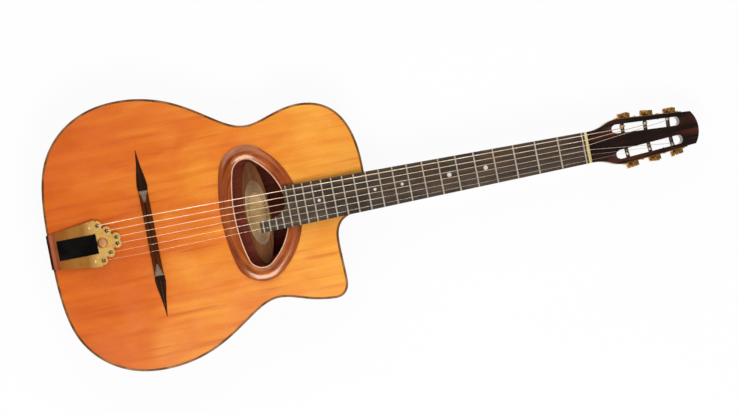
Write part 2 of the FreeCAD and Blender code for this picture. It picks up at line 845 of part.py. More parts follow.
fret_numbers = range(LAST_FRET + 1)
fret_bars = feature("fret_bars", Part.Compound([fret_bar(number) for number in fret_numbers]))
fret_bars.Placement = neck_frame
fret_room = sketch_pad(
    "fret_room",
    board_outline(s.fret_tang_width / 2),
    "Sizes.fret_tang_depth + 2 * Sizes.fret_crown_height",
    placement=below(-s.fret_tang_depth),
)
keep(common("frets_piece", fret_bars, fret_room), "frets")


def marker(number, diameter):
    middle = Vector((fret_x(number) + fret_x(number - 1)) / 2, 0, -s.marker_depth)
    place = neck_frame.multiply(Placement(middle, Rotation()))
    return cylinder(f"marker_{number}", f"Sizes.{diameter} / 2", "Sizes.marker_depth", place)


markers = [marker(number, "large_marker_diameter") for number in LARGE_MARKER_FRETS]
markers += [marker(number, "small_marker_diameter") for number in SMALL_MARKER_FRETS]
marker_set = union("marker_set", markers)
keep(marker_set, "position_dots")
board_slots = union("board_slots", [marker_set, doc.getObject("frets_piece")])
keep(cut("fingerboard_piece", board_blank, board_slots), "fingerboard")

# The wedge that lifts the fingerboard off the soundboard, from the body's end to the soundhole's ring
ring_outer_x = hole_near_x + s.hole_binding_width + s.ring_width
wedge_start = ring_outer_x + s.wedge_inset - body_end
wedge_half_near = board_half_width(s.overrun) - s.wedge_inset
wedge_half_far = board_half_width(wedge_start) - s.wedge_inset
wedge_corners = [
    (s.overrun, wedge_half_near),
    (wedge_start, wedge_half_far),
    (wedge_start, -wedge_half_far),
    (s.overrun, -wedge_half_near),
]
wedge_drop = s.board_thickness + s.board_lift
wedge_blank = sketch_pad(
    "wedge_blank", polygon(wedge_corners), "Sizes.board_lift", placement=below(-wedge_drop)
)
body_limit = rim_prism("body_limit", 0.0, 0.0, "2 * Sizes.body_depth")
wedge_trimmed = common("wedge_trimmed", wedge_blank, body_limit)
keep(cut("wedge_piece", wedge_trimmed, outer_dome), "fingerboard_wedge")


# The neck: a tapering shaft, a heel that swells down to its foot, the tenon and the slotted head
def half_oval_wire(x, half_width, depth, z):
    """The shaft's section: a half ellipse hanging from a flat top, across the neck."""
    ellipse = Part.Ellipse(Vector(x, 0, z), half_width, depth)
    ellipse.Axis = X_AXIS
    ellipse.XAxis = Y_AXIS
    arc = Part.Arc(ellipse, math.pi, 2 * math.pi)
    edge = arc.toShape()
    ends = [edge.Vertexes[0].Point, edge.Vertexes[-1].Point]
    return Part.Wire([edge, Part.LineSegment(ends[1], ends[0]).toShape()])


shaft_end_x = nut_back_x + s.head_thickness
shaft_start_x = -s.overrun
shaft_sections = [
    half_oval_wire(x, board_half_width(x), depth, -s.board_thickness)
    for x, depth in ((shaft_start_x, s.neck_depth_joint), (shaft_end_x, s.neck_depth_nut))
]
shaft = feature("shaft", Part.makeLoft(shaft_sections, True, True))
shaft.Placement = neck_frame

heel_foot_z = s.heel_bottom_gap + s.heel_cap_thickness
heel_top_z = board_top_z - s.board_thickness - s.neck_depth_joint / 2


def heel_section(z, reach, half_width):
    """A rounded tongue from the body's flat, half_width to each side, at height z."""
    bass = [(body_end + out * reach, across * half_width) for out, across in HEEL_PLAN_SHARES]
    treble = [(x, -y) for x, y in reversed(bass[:-1])]
    points = [Vector(x, y, z) for x, y in bass + treble]
    return Part.Wire([spline_edge(points), Part.LineSegment(points[-1], points[0]).toShape()])


def between(low, high, share):
    return low + (high - low) * share


heel_shape = Part.makeLoft(
    [
        heel_section(
            between(heel_top_z, heel_foot_z, height),
            between(s.heel_foot_reach, s.heel_reach, reach),
            between(s.heel_foot_half_width, s.heel_top_half_width, width),
        )
        for height, reach, width in HEEL_SHARES
    ],
    True,
    False,
)
heel = feature("heel", heel_shape)
cap_wire = heel_section(s.heel_bottom_gap, s.heel_foot_reach, s.heel_foot_half_width)
cap_base = feature("heel_cap_wire", cap_wire)
keep(extrude("heel_cap_plate", cap_base, "Sizes.heel_cap_thickness"), "heel_cap")

shoulder, shoulder_half = s.head_shoulder, s.head_shoulder_width / 2
corner, corner_half = s.head_corner, s.head_corner_width / 2
neck_half = board_half_width(nut_back_x)


def head_outline():
    """The head's face from the nut to its curved end, in the head's frame."""
    widening = shoulder_half - neck_half
    flare, swell, round_out = [
        (shoulder * along, neck_half + widening * across) for along, across in FLARE_SHARES
    ]
    neck_corner, bass_shoulder = (0.0, neck_half), (shoulder, shoulder_half)
    bass_corner, treble_corner = (corner, corner_half), (corner, -corner_half)

    def down(item):
        return tuple((x, -y) for x, y in reversed(item))

    upper = [
        (neck_corner, flare, swell),
        (swell, round_out, bass_shoulder),
        (bass_shoulder, bass_corner),
    ]
    end = [(bass_corner, (s.head_length, 0.0), treble_corner)]
    lower = [down(item) for item in reversed(upper)]
    close = [((0.0, -neck_half), neck_corner)]
    return upper + end + lower + close


def on_head(z):
    return head_frame.multiply(Placement(Vector(0, 0, z), Rotation()))


head_block = sketch_pad(
    "head_block", head_outline(), "Sizes.head_thickness", placement=on_head(-s.head_thickness)
)
veneer_blank = sketch_pad(
    "veneer_blank", head_outline(), "Sizes.veneer_thickness", placement=on_head(0.0)
)
above_head = box(
    "above_head",
    "Sizes.head_length",
    "2 * Sizes.head_shoulder_width",
    "Sizes.head_thickness",
    head_frame.multiply(Placement(Vector(0, -s.head_shoulder_width, 0), Rotation())),
)


def ramp_wedge(length, width):
    """A wedge that rises from the slot's side to the head's face over length, along -X."""
    top, side, inside = s.veneer_thickness, -width / 2, s.slot_width / 2
    corners = [Vector(-length, side, top), Vector(inside, side, top)]
    corners.append(Vector(inside, side, top - s.ramp_depth))
    return Part.Face(Part.makePolygon(corners + [corners[0]])).extrude(Vector(0, width, 0))


def slot_block(side):
    """A long round-ended slot through the head, with a shallow ramp at its nut end."""
    start, end = (s.slot_start, side * s.slot_start_offset), (s.slot_end, side * s.slot_end_offset)
    length = math.hypot(end[0] - start[0], end[1] - start[1])
    turn = math.degrees(math.atan2(end[1] - start[1], end[0] - start[0]))
    half = s.slot_width / 2
    outline = [
        ((half, half), (length - half, half)),
        ((length - half, half), (length, 0.0), (length - half, -half)),
        ((length - half, -half), (half, -half)),
        ((half, -half), (0.0, 0.0), (half, half)),
    ]
    low = -s.head_thickness - s.overrun
    frame = head_frame.multiply(Placement(Vector(*start, low), Rotation(Z_AXIS, turn)))
    name = "bass_slot" if side > 0 else "treble_slot"
    slot = sketch_pad(name, outline, "Sizes.head_thickness + 2 * Sizes.overrun", placement=frame)
    ramp = feature(name + "_ramp", ramp_wedge(s.ramp_length, s.slot_width * RAMP_WIDTH_SHARE))
    ramp.Placement = head_frame.multiply(Placement(Vector(*start, 0), Rotation(Z_AXIS, turn)))
    return [slot, ramp]


slots = union("slots", slot_block(1) + slot_block(-1))

# The tuners' frame on the bass edge of the head: x along the edge, y outwards, z up from the face
edge_turn = math.degrees(math.atan2(shoulder_half - corner_half, corner - shoulder))
edge_slope = (shoulder_half - corner_half) / (corner - shoulder)
edge_at_first = shoulder_half - (s.first_roller - shoulder) * edge_slope


def tuner_frame(side):
    return head_frame.multiply(
        Placement(Vector(s.first_roller, side * edge_at_first, 0), Rotation(Z_AXIS, -side * edge_turn))
    )


roller_places = [index * s.roller_spacing for index in range(TUNERS_PER_SIDE)]
gear_pitch_radius = s.gear_module * s.gear_teeth / 2
worm_offset = gear_pitch_radius + s.worm_pitch_radius
worm_lead = math.pi * s.gear_module
plate_low = -s.roller_drop - s.plate_height / 2


def along_y(radius, start, end, x, z):
    """A round bar along the tuner frame's y axis."""
    return Part.makeCylinder(radius, end - start, Vector(x, start, z), Y_AXIS)


def along_z(radius, start, end, x, y):
    return Part.makeCylinder(radius, end - start, Vector(x, y, start), Z_AXIS)


def slot_centre_out(place):
    """How far inside the head's edge the slot's middle lies at a roller's place."""
    x = s.first_roller + place * math.cos(math.radians(edge_turn))
    share = (x - s.slot_start) / (s.slot_end - s.slot_start)
    centre = between(s.slot_start_offset, s.slot_end_offset, share)
    edge = shoulder_half - (x - shoulder) * edge_slope
    return centre - edge


def roller_reach(place):
    return slot_centre_out(place) - s.slot_width / 2


def string_hole_out(index):
    """How far from the head's edge a roller's string hole lies."""
    return slot_centre_out(roller_places[index]) + STRING_HOLE_SHARES[index] * s.slot_width


def roller_shape(index):
    """A roller across the slot, its tail in the head's middle and its stub out to the gear."""
    inner = roller_reach(roller_places[index])
    z = -s.roller_drop
    gear_face = s.gear_centre_out - s.gear_thickness / 2
    barrel = along_y(s.roller_diameter / 2, inner + s.roller_clearance, -s.roller_clearance, 0.0, z)
    tail_start, tail_end = inner - s.roller_tail_length, inner + s.roller_clearance
    tail = along_y(s.roller_tail_diameter / 2, tail_start, tail_end, 0.0, z)
    stub = along_y(s.roller_stub_diameter / 2, -s.roller_clearance, gear_face, 0.0, z)
    eye_low, eye_top = z - s.roller_diameter, z + s.roller_diameter
    eye = along_z(s.string_hole_diameter / 2, eye_low, eye_top, 0.0, string_hole_out(index))
    return barrel.fuse([tail, stub]).removeSplitter().cut(eye)


def gear_outline(turn):
    """A trapezoid-toothed gear outline round the roller's axis, turned by an angle in radians."""
    step = 2 * math.pi / s.gear_teeth
    addendum = s.gear_module * GEAR_TIP_SHARE
    dedendum = s.gear_module * GEAR_ROOT_SHARE
    half_tooth = (worm_lead / 2 - s.gear_backlash) / 2
    slope = math.tan(math.radians(PRESSURE_ANGLE))
    tip_radius = gear_pitch_radius + addendum
    root_radius = gear_pitch_radius - dedendum
    half_tip = (half_tooth - addendum * slope) / tip_radius
    half_root = (half_tooth + dedendum * slope) / root_radius
    points = []
    for tooth in range(int(s.gear_teeth)):
        middle = tooth * step + turn
        for radius, offset in (
            (root_radius, -half_root),
            (tip_radius, -half_tip),
            (tip_radius, half_tip),
            (root_radius, half_root),
        ):
            angle = middle + offset
            points.append((radius * math.cos(angle), radius * math.sin(angle)))
    return points


def round_head(radius, height):
    """A domed head on the z axis, standing on the plane z = 0."""
    points = [Vector(across * radius, 0, up * height) for across, up in HEAD_SHARES]
    return Part.Face(Part.makePolygon(points + [points[0]])).revolve(Vector(), Z_AXIS, 360)


def slotted_head(diameter, height):
    """A round head with one slot across its top."""
    slot_width, slot_floor = diameter * HEAD_SLOT_SHARES[0], height * HEAD_SLOT_SHARES[1]
    slot_corner = Vector(-diameter / 2, -slot_width / 2, slot_floor)
    return round_head(diameter / 2, height).cut(Part.makeBox(diameter, slot_width, height, slot_corner))


def gear_shape():
    """The roller's gear: its teeth lean with the worm's thread. A round-headed screw holds it."""
    half = s.gear_thickness / 2
    lean = half * worm_lead / (2 * math.pi * s.worm_pitch_radius) / gear_pitch_radius
    z = -s.roller_drop
    wires = []
    for offset, turn in ((-half, -lean), (half, lean)):
        corners = [Vector(x, s.gear_centre_out + offset, z + y) for x, y in gear_outline(turn)]
        wires.append(Part.makePolygon(corners + [corners[0]]))
    disc = Part.makeLoft(wires, True, True)
    face = s.gear_centre_out + half
    head = slotted_head(s.gear_screw_head, s.gear_screw_head * GEAR_HEAD_RISE_SHARE)
    head.rotate(Vector(), X_AXIS, -90)
    head.translate(Vector(0, face, z))
    return Part.Compound([disc, head])


def worm_shape():
    """The worm with its shaft, upright beside the gear, phased so that thread and teeth mesh."""
    x, y, z = worm_offset, s.gear_centre_out, -s.roller_drop
    slope = math.tan(math.radians(PRESSURE_ANGLE))
    addendum, dedendum = s.gear_module * WORM_TIP_SHARE, s.gear_module * WORM_ROOT_SHARE
    root, tip = s.worm_pitch_radius - dedendum, s.worm_pitch_radius + addendum
    half_pitch_line = (worm_lead / 2 - s.gear_backlash) / 2
    half_root = half_pitch_line + dedendum * slope
    half_tip = half_pitch_line - addendum * slope
    bite = s.gear_backlash
    length = s.worm_length
    path = Part.makeHelix(worm_lead, THREAD_TURNS * worm_lead, root)
    section = Part.makePolygon(
        [
            Vector(root - bite, 0, -half_root),
            Vector(root, 0, -half_root),
            Vector(tip, 0, -half_tip),
            Vector(tip, 0, half_tip),
            Vector(root, 0, half_root),
            Vector(root - bite, 0, half_root),
            Vector(root - bite, 0, -half_root),
        ]
    )
    thread = Part.Wire(path).makePipeShell([section], True, True)
    start = -THREAD_TURNS * worm_lead / 2
    thread.rotate(Vector(), Z_AXIS, 180 + 360 * (start / worm_lead - 0.5))
    thread.translate(Vector(0, 0, start))
    core = Part.makeCylinder(root, length, Vector(0, 0, -length / 2))
    worm = core.fuse(thread)
    worm.translate(Vector(x, y, z))
    shaft_top = z + length / 2 + s.lug_gap + s.lug_thickness + s.lug_gap
    shaft_low = plate_low - s.button_gap - s.button_collar_length
    shaft_bar = along_z(s.worm_shaft_diameter / 2, shaft_low, shaft_top, x, y)
    return worm.fuse(shaft_bar)


def button_shape(turn):
    """A flat winged button under a collar, bored for the worm's shaft."""
    x, y = worm_offset, s.gear_centre_out
    top = plate_low - s.button_gap
    half_w, half_d = s.button_width / 2, s.button_depth / 2
    wing_top = top - s.button_collar_length
    wing_low = top - s.button_length
    waist = s.button_collar_diameter / 2
    wing_z = (wing_top + wing_low) / 2
    right_top, right_low = Vector(waist, 0, wing_top), Vector(waist, 0, wing_low)
    left_top, left_low = Vector(-waist, 0, wing_top), Vector(-waist, 0, wing_low)
    edges = [
        Part.Arc(right_top, Vector(half_w, 0, wing_z), right_low),
        Part.LineSegment(right_low, left_low),
        Part.Arc(left_low, Vector(-half_w, 0, wing_z), left_top),
        Part.LineSegment(left_top, right_top),
    ]
    profile = Part.Wire([edge.toShape() for edge in edges])
    slab = Part.Face(profile).extrude(Vector(0, s.button_depth, 0))
    slab.translate(Vector(0, -half_d, 0))
    collar = along_z(waist, wing_top, top, 0.0, 0.0)
    grip = slab.fuse(collar)
    grip.rotate(Vector(), Z_AXIS, turn)
    bore = along_z(s.worm_shaft_diameter / 2, wing_top, top, 0.0, 0.0)
    grip = grip.cut(bore)
    grip.translate(Vector(x, y, 0))
    return grip


def plate_screw_places():
    """Screws stand between the tuners and at both ends of a plate."""
    margin_share, spacing_share, head_share = PLATE_SCREW_SHARES
    first = -s.plate_margin * margin_share
    between_tuners = [place - s.roller_spacing * spacing_share for place in roller_places[1:]]
    last_lug = roller_places[-1] + worm_offset + s.lug_width / 2
    return [first] + between_tuners + [last_lug + s.screw_head_diameter * head_share]


plate_end = plate_screw_places()[-1] + s.screw_head_diameter


def tuner_plate_shape():
    """The plate on the head's edge with two lugs for each worm and holes for the rollers and screws."""
    z = -s.roller_drop
    length = s.plate_margin + plate_end
    corner = Vector(-s.plate_margin, 0, plate_low)
    plate = Part.makeBox(length, s.plate_thickness, s.plate_height, corner)
    solids, holes = [], []
    lug_root = s.plate_thickness / 2
    lug_reach = s.gear_centre_out + s.worm_shaft_diameter + s.shaft_clearance - lug_root
    upper_lug = z + s.worm_length / 2 + s.lug_gap
    lower_lug = z - s.worm_length / 2 - s.lug_gap - s.lug_thickness
    shaft_hole = s.worm_shaft_diameter / 2 + s.shaft_clearance
    stub_hole = s.roller_stub_diameter / 2 + s.shaft_clearance
    low, high = z - s.plate_height, z + s.plate_height
    for place in roller_places:
        middle = place + worm_offset
        for lug_z in (upper_lug, lower_lug):
            lug_corner = Vector(middle - s.lug_width / 2, lug_root, lug_z)
            solids.append(Part.makeBox(s.lug_width, lug_reach, s.lug_thickness, lug_corner))
        holes.append(along_z(shaft_hole, low, high, middle, s.gear_centre_out))
        holes.append(along_y(stub_hole, -s.overrun, s.plate_thickness + s.overrun, place, z))
    for place in plate_screw_places():
        holes.append(along_y(s.screw_shank_diameter / 2, -s.overrun, s.overrun, place, z))
    return plate.fuse(solids).removeSplitter().cut(holes)


def screw_shank():
    """A wood screw's shank, from the origin down the z axis, which is also its pilot hole."""
    foot = Vector(0, 0, -s.screw_shank_length)
    return Part.makeCylinder(s.screw_shank_diameter / 2, s.screw_shank_length, foot)


def screw_shape():
    """A round-headed wood screw on the z axis: its head above the origin and its shank below."""
    return slotted_head(s.screw_head_diameter, s.screw_head_height).fuse(screw_shank())


def placed(shape, placement, side=1):
    """A copy of a shape in a frame, mirrored across y first for the treble side."""
    copy = shape.copy() if side > 0 else shape.mirror(Vector(), Y_AXIS)
    copy.Placement = placement.multiply(copy.Placement)
    return copy


side_names = {1: "bass", -1: "treble"}
tuner_holes, screws = [], []
plate_piece, gear_piece, worm_piece = tuner_plate_shape(), gear_shape(), worm_shape()
screw_piece, screw_pilot = screw_shape(), screw_shank()


def keep_tuner(kind, number, shape, frame, side):
    keep(feature(f"{kind}_shape_{number}", placed(shape, frame, side)), f"{kind}_{number}")


def fit_tuner(number, index, edge_frame, side):
    """One tuner's roller, gear, worm and button, and the holes that its roller needs in the head."""
    place = roller_places[index]
    frame = edge_frame.multiply(Placement(Vector(place, 0, 0), Rotation()))
    keep_tuner("roller", number, roller_shape(index), frame, side)
    keep_tuner("gear", number, gear_piece, frame, side)
    keep_tuner("worm", number, worm_piece, frame, side)
    keep_tuner("button", number, button_shape(BUTTON_TURNS[number - 1]), frame, side)
    reach = roller_reach(place)
    middle = reach + s.slot_width / 2
    hole_end = reach - s.roller_tail_length - s.roller_clearance
    z = -s.roller_drop
    barrel_radius = s.roller_diameter / 2 + s.roller_clearance
    tail_radius = s.roller_tail_diameter / 2 + s.shaft_clearance
    barrel_hole = along_y(barrel_radius, middle, s.overrun, 0.0, z)
    tail_hole = along_y(tail_radius, hole_end, middle, 0.0, z)
    tuner_holes.append(placed(barrel_hole, frame, side))
    tuner_holes.append(placed(tail_hole, frame, side))


for side in (1, -1):
    edge_frame = tuner_frame(side)
    plate = feature(side_names[side] + "_plate", placed(plate_piece, edge_frame, side))
    keep(plate, side_names[side] + "_tuner_plate")
    for place in plate_screw_places():
        seat_point = Vector(place, side * s.plate_thickness, -s.roller_drop)
        seat = Placement(seat_point, Rotation(X_AXIS, -side * 90))
        screws.append(placed(screw_piece, edge_frame.multiply(seat)))
        tuner_holes.append(placed(screw_pilot, edge_frame.multiply(seat)))
    for index in range(TUNERS_PER_SIDE):
        fit_tuner(index + 1 if side > 0 else index + 1 + TUNERS_PER_SIDE, index, edge_frame, side)

hole_set = feature("tuner_holes", Part.Compound(tuner_holes))
keep(cut("head_veneer_piece", veneer_blank, slots), "head_veneer")

bar_corner = neck_frame.multiply(
    Placement(Vector(s.bar_start, -s.bar_width / 2, -s.board_thickness - s.bar_height), Rotation())
)
neck_bar = box("neck_bar_piece", "Sizes.bar_length", "Sizes.bar_width", "Sizes.bar_height", bar_corner)
keep(neck_bar, "neck_bar")

behind_neck = box(
    "behind_neck",
    "2 * Sizes.overrun",
    "Sizes.upper_bout_width",
    "2 * Sizes.body_depth",
    Placement(Vector(body_end - 2 * s.overrun, -s.upper_bout_width / 2, 0), Rotation()),
)
neck_trimmed = cut("neck_trimmed", union("neck_blank", [shaft, heel, head_block]), behind_neck)
neck_voids = union("neck_voids", [above_head, slots, neck_bar])
neck_carved = cut("neck_carved", union("neck_with_tenon", [neck_trimmed, tenon]), neck_voids)
keep(cut("neck_piece", neck_carved, hole_set), "neck")

# The nut, notched for the strings
string_order = range(STRING_COUNT)


def string_y(index, spread):
    """A string's place across the neck; index 0 is the lowest string, on the bass side."""
    return spread / 2 - spread * index / (STRING_COUNT - 1)


nut_half = board_half_width(nut_front_x)
nut_corner = neck_frame.multiply(
    Placement(Vector(nut_front_x, -nut_half, -s.board_thickness), Rotation())
)
nut_blank = Part.makeBox(s.nut_thickness, 2 * nut_half, s.board_thickness + s.nut_rise)
nut_notches = []
string_low_at_nut = s.fret_crown_height
for index in string_order:
    radius = STRING_DIAMETERS[index] / 2 + s.nut_notch_gap
    y = string_y(index, s.string_spread_nut) + nut_half
    z = s.board_thickness + string_low_at_nut + STRING_DIAMETERS[index] / 2
    length = s.nut_thickness + 2 * s.overrun
    notch = Part.makeCylinder(radius, length, Vector(-s.overrun, y, z), X_AXIS)
    top = Part.makeBox(length, 2 * radius, s.overrun, Vector(-s.overrun, y - radius, z))
    nut_notches += [notch, top]
nut_shape = nut_blank.cut(nut_notches)
nut_piece = feature("nut_piece", nut_shape)
nut_piece.Placement = nut_corner
keep(nut_piece, "nut")

# The floating bridge: a roof-shaped beam with sloping end facets, arched under its middle
string_rise = s.fret_crown_height + 2 * s.string_action
saddle_local_x = fret_x(0) - s.scale_length - s.saddle_shift
saddle_point = neck_frame.multVec(Vector(saddle_local_x, 0, string_rise))
bridge_x = saddle_point.x
bridge_half = s.bridge_length / 2
crest_z = saddle_point.z - s.string_clearance
bridge_low = dome_z(bridge_x, bridge_half) - s.overrun
end_z = dome_z(bridge_x, bridge_half) + s.bridge_end_height
foot_half, crest_half = s.bridge_foot_width / 2, s.bridge_crest_width / 2
facet_y = bridge_half - s.bridge_facet_length
side_profile = [
    (-foot_half, bridge_low),
    (-foot_half, end_z),
    (-crest_half, crest_z),
    (crest_half, crest_z),
    (foot_half, end_z),
    (foot_half, bridge_low),
]
front_profile = [
    (-bridge_half, bridge_low),
    (-bridge_half, end_z),
    (-facet_y, crest_z),
    (facet_y, crest_z),
    (bridge_half, end_z),
    (bridge_half, bridge_low),
]


def swept(corners, reach):
    """A flat outline carried along reach."""
    return Part.Face(Part.makePolygon(corners + [corners[0]])).extrude(reach)


bridge_section = swept(
    [Vector(bridge_x + x, -bridge_half, z) for x, z in side_profile], Vector(0, s.bridge_length, 0)
)
bridge_front = swept(
    [Vector(bridge_x - foot_half, y, z) for y, z in front_profile],
    Vector(s.bridge_foot_width, 0, 0),
)
bridge_blank = feature("bridge_blank", bridge_section.common(bridge_front))
bridge_seat = dome("bridge_seat", "Sizes.dome_radius + Sizes.bridge_clearance")
arch_rise = dome_z(bridge_x, 0.0) + s.bridge_arch_height
arch_radius = ((s.bridge_arch_length / 2) ** 2 + s.bridge_arch_height ** 2) / (2 * s.bridge_arch_height)
bridge_arch = cylinder(
    "bridge_arch",
    f"{arch_radius} mm",
    "2 * Sizes.bridge_foot_width",
    Placement(Vector(bridge_x - s.bridge_foot_width, 0, arch_rise - arch_radius), Rotation(Y_AXIS, 90)),
)
keep(cut("bridge_piece", bridge_blank, union("bridge_voids", [bridge_seat, bridge_arch])), "bridge")


# The moustaches: leaf-shaped pieces that carry on the bridge's line, thinning to a point
def moustache_section(share, width_share, height_share):
    """A three-sided section with a ridge, standing across the moustache's line."""
    y = bridge_half + s.moustache_gap + share * s.moustache_length
    half = s.moustache_width / 2 * width_share
    base = dome_z(bridge_x, y) - s.soundboard_thickness / 2
    top = dome_z(bridge_x, y) + s.moustache_height * height_share
    shoulder_z = between(dome_z(bridge_x, y), top, MOUSTACHE_SHOULDER_SHARE)
    return Part.makePolygon(
        [
            Vector(bridge_x - half, y, base),
            Vector(bridge_x - half, y, shoulder_z),
            Vector(bridge_x, y, top),
            Vector(bridge_x + half, y, shoulder_z),
            Vector(bridge_x + half, y, base),
            Vector(bridge_x - half, y, base),
        ]
    )


moustache_solid = Part.makeLoft([moustache_section(*item) for item in MOUSTACHE_SHARES], True, True)
moustache_pair = feature(
    "moustache_pair", Part.Compound([moustache_solid, moustache_solid.mirror(Vector(), Y_AXIS)])
)
keep(cut("moustaches_piece", moustache_pair, outer_dome), "moustaches")

# The tailpiece: a folded brass tray on the soundboard's end, an angle down the tail and six lobes
tail_top = dome_z(-s.tail_distance, 0.0)
tail_frame = Placement(
    Vector(-s.tail_distance - s.tail_angle_gap, 0, tail_top + s.tail_seat_gap + s.tail_skirt_depth),
    Rotation(Y_AXIS, -s.tail_tilt),
)
eyelets = [
    (along * s.tail_wide_at, side * across * s.tail_width_wide / 2)
    for along, across in EYELET_SHARES
    for side in (1, -1)
]


def tray_shape(inset, low, high):
    """The tray's outline between two heights, drawn in by inset, in the tailpiece's frame."""
    end_half = s.tail_width_end / 2 - inset
    wide_half = s.tail_width_wide / 2 - inset
    upper = [eyelet for eyelet in eyelets if eyelet[1] > 0]
    corners = [(inset - s.tail_plate_thickness, end_half), (s.tail_wide_at, wide_half)] + upper
    corners += [(x, -y) for x, y in reversed(corners)]
    points = [Vector(x, y, low) for x, y in corners]
    block = Part.Face(Part.makePolygon(points + [points[0]])).extrude(Vector(0, 0, high - low))
    lobes = [
        Part.makeCylinder(s.lobe_radius - inset, high - low, Vector(x, y, low)) for x, y in eyelets
    ]
    return block.fuse(lobes).removeSplitter()


skin = s.tail_plate_thickness
tray = tray_shape(0.0, -s.tail_skirt_depth, 0.0).cut(tray_shape(skin, -s.tail_skirt_depth, -skin))
raised = [Part.makeCylinder(s.eyelet_radius, s.eyelet_rise, Vector(x, y, 0)) for x, y in eyelets]
boss = round_head(s.boss_radius, s.boss_rise)
boss.translate(Vector(s.tail_wide_at * BOSS_SHARE, 0, 0))
rivet_x, rivet_y = s.tail_wide_at * RIVET_SHARES[0], s.tail_width_wide / 2 * RIVET_SHARES[1]
rivets = []
for y in (rivet_y, -rivet_y):
    rivet = round_head(s.rivet_radius, s.rivet_radius)
    rivet.translate(Vector(rivet_x, y, 0))
    rivets.append(rivet)
bore_low, bore_height = -s.tail_skirt_depth - s.overrun, s.tail_skirt_depth + 2 * s.overrun
bores = [Part.makeCylinder(s.eyelet_bore, bore_height, Vector(x, y, bore_low)) for x, y in eyelets]
insert_half = s.insert_width / 2
pocket = Part.makeBox(
    s.insert_length,
    s.insert_width,
    s.tail_skirt_depth + s.overrun,
    Vector(s.insert_start, -insert_half, -s.tail_skirt_depth),
)
tray_piece = tray.fuse(raised + [boss] + rivets).cut(bores + [pocket])
tray_piece.Placement = tail_frame
# The angle stands against the tail's outer face and reaches up into the tray's end wall
angle_top = tail_frame.Base.z
angle_face = -s.tail_distance - s.tail_angle_gap - skin
angle = Part.makeBox(
    skin,
    s.tail_width_end,
    s.tail_drop + s.tail_skirt_depth - skin / 2,
    Vector(angle_face, -s.tail_width_end / 2, angle_top - s.tail_drop - s.tail_skirt_depth),
)
angle_screws = [
    (s.tail_width_end * across, angle_top - s.tail_skirt_depth - s.tail_drop * down)
    for across, down in ANGLE_SCREW_SHARES
]
tail_pilots = []
for y, z in angle_screws:
    seat = Placement(Vector(angle_face, y, z), Rotation(Y_AXIS, -90))
    screws.append(placed(screw_piece, seat))
    tail_pilots.append(placed(screw_pilot, seat))
tailpiece_shape = tray_piece.fuse(angle).cut(tail_pilots)
keep(feature("tailpiece_shape", tailpiece_shape), "tailpiece")
insert_foot = -s.tail_skirt_depth / 2
insert_shape = Part.makeBox(
    s.insert_length - 2 * s.insert_clearance,
    s.insert_width - 2 * s.insert_clearance,
    s.insert_rise - insert_foot,
    Vector(s.insert_start + s.insert_clearance, s.insert_clearance - insert_half, insert_foot),
)
insert_piece = feature("insert_shape", insert_shape)
insert_piece.Placement = tail_frame
keep(insert_piece, "tailpiece_insert")

pilot_set = feature("tail_pilots", Part.Compound(tail_pilots))
keep(cut("tail_block_piece", tail_block_full, pilot_set), "tail_block")
for side_name in half_box_y:
    walls = [obj for obj in nodes if obj.Label == side_name][0]
    nodes.remove(walls)
    walls.Label = side_name + "_undrilled"
    keep(cut(side_name + "_drilled", walls, pilot_set), side_name)
keep(feature("screw_set", Part.Compound(screws)), "wood_screws")


# Strings: from the tailpiece's eyelets over the saddle, the zero fret and the nut to the rollers
def bent_path(points):
    """Straight runs joined by tangent arcs, as one wire."""
    edges, at = [], points[0]
    for index in range(1, len(points) - 1):
        run_in, run_out = points[index] - points[index - 1], points[index + 1] - points[index]
        shorter = min(run_in.Length, run_out.Length)
        before, after = run_in.normalize(), run_out.normalize()
        turn = before.getAngle(after)
        trim = min(FILLET_SHARE * shorter, s.string_bend)
        enter, leave = points[index] - before * trim, points[index] + after * trim
        bisector = (after - before).normalize()
        radius = trim / math.tan(turn / 2)
        centre = points[index] + bisector * (radius / math.cos(turn / 2))
        middle = centre - bisector * radius
        edges.append(Part.LineSegment(at, enter).toShape())
        edges.append(Part.Arc(enter, middle, leave).toShape())
        at = leave
    edges.append(Part.LineSegment(at, points[-1]).toShape())
    return Part.Wire(edges)


def string_tube(points, diameter):
    path = bent_path(points)
    start = points[0]
    section = Part.Wire(Part.makeCircle(diameter / 2, start, points[1] - points[0]))
    tube = path.makePipeShell([section], True, False, 2)
    wanted = math.pi * diameter ** 2 / 4 * path.Length
    if abs(tube.Volume / wanted - 1) > TUBE_ERROR_SHARE:
        raise ValueError(f"a string's tube has volume {tube.Volume:.2f}, not {wanted:.2f}")
    return tube


def eyelet_for(index):
    """Strings take the eyelets from the bass side to the treble side."""
    order = sorted(eyelets, key=lambda eyelet: -eyelet[1])
    return order[index]


def roller_for(index):
    """(side, roller's number along the head) for a string: the outer strings take the nearest rollers."""
    if index < TUNERS_PER_SIDE:
        return 1, index
    return -1, STRING_COUNT - 1 - index


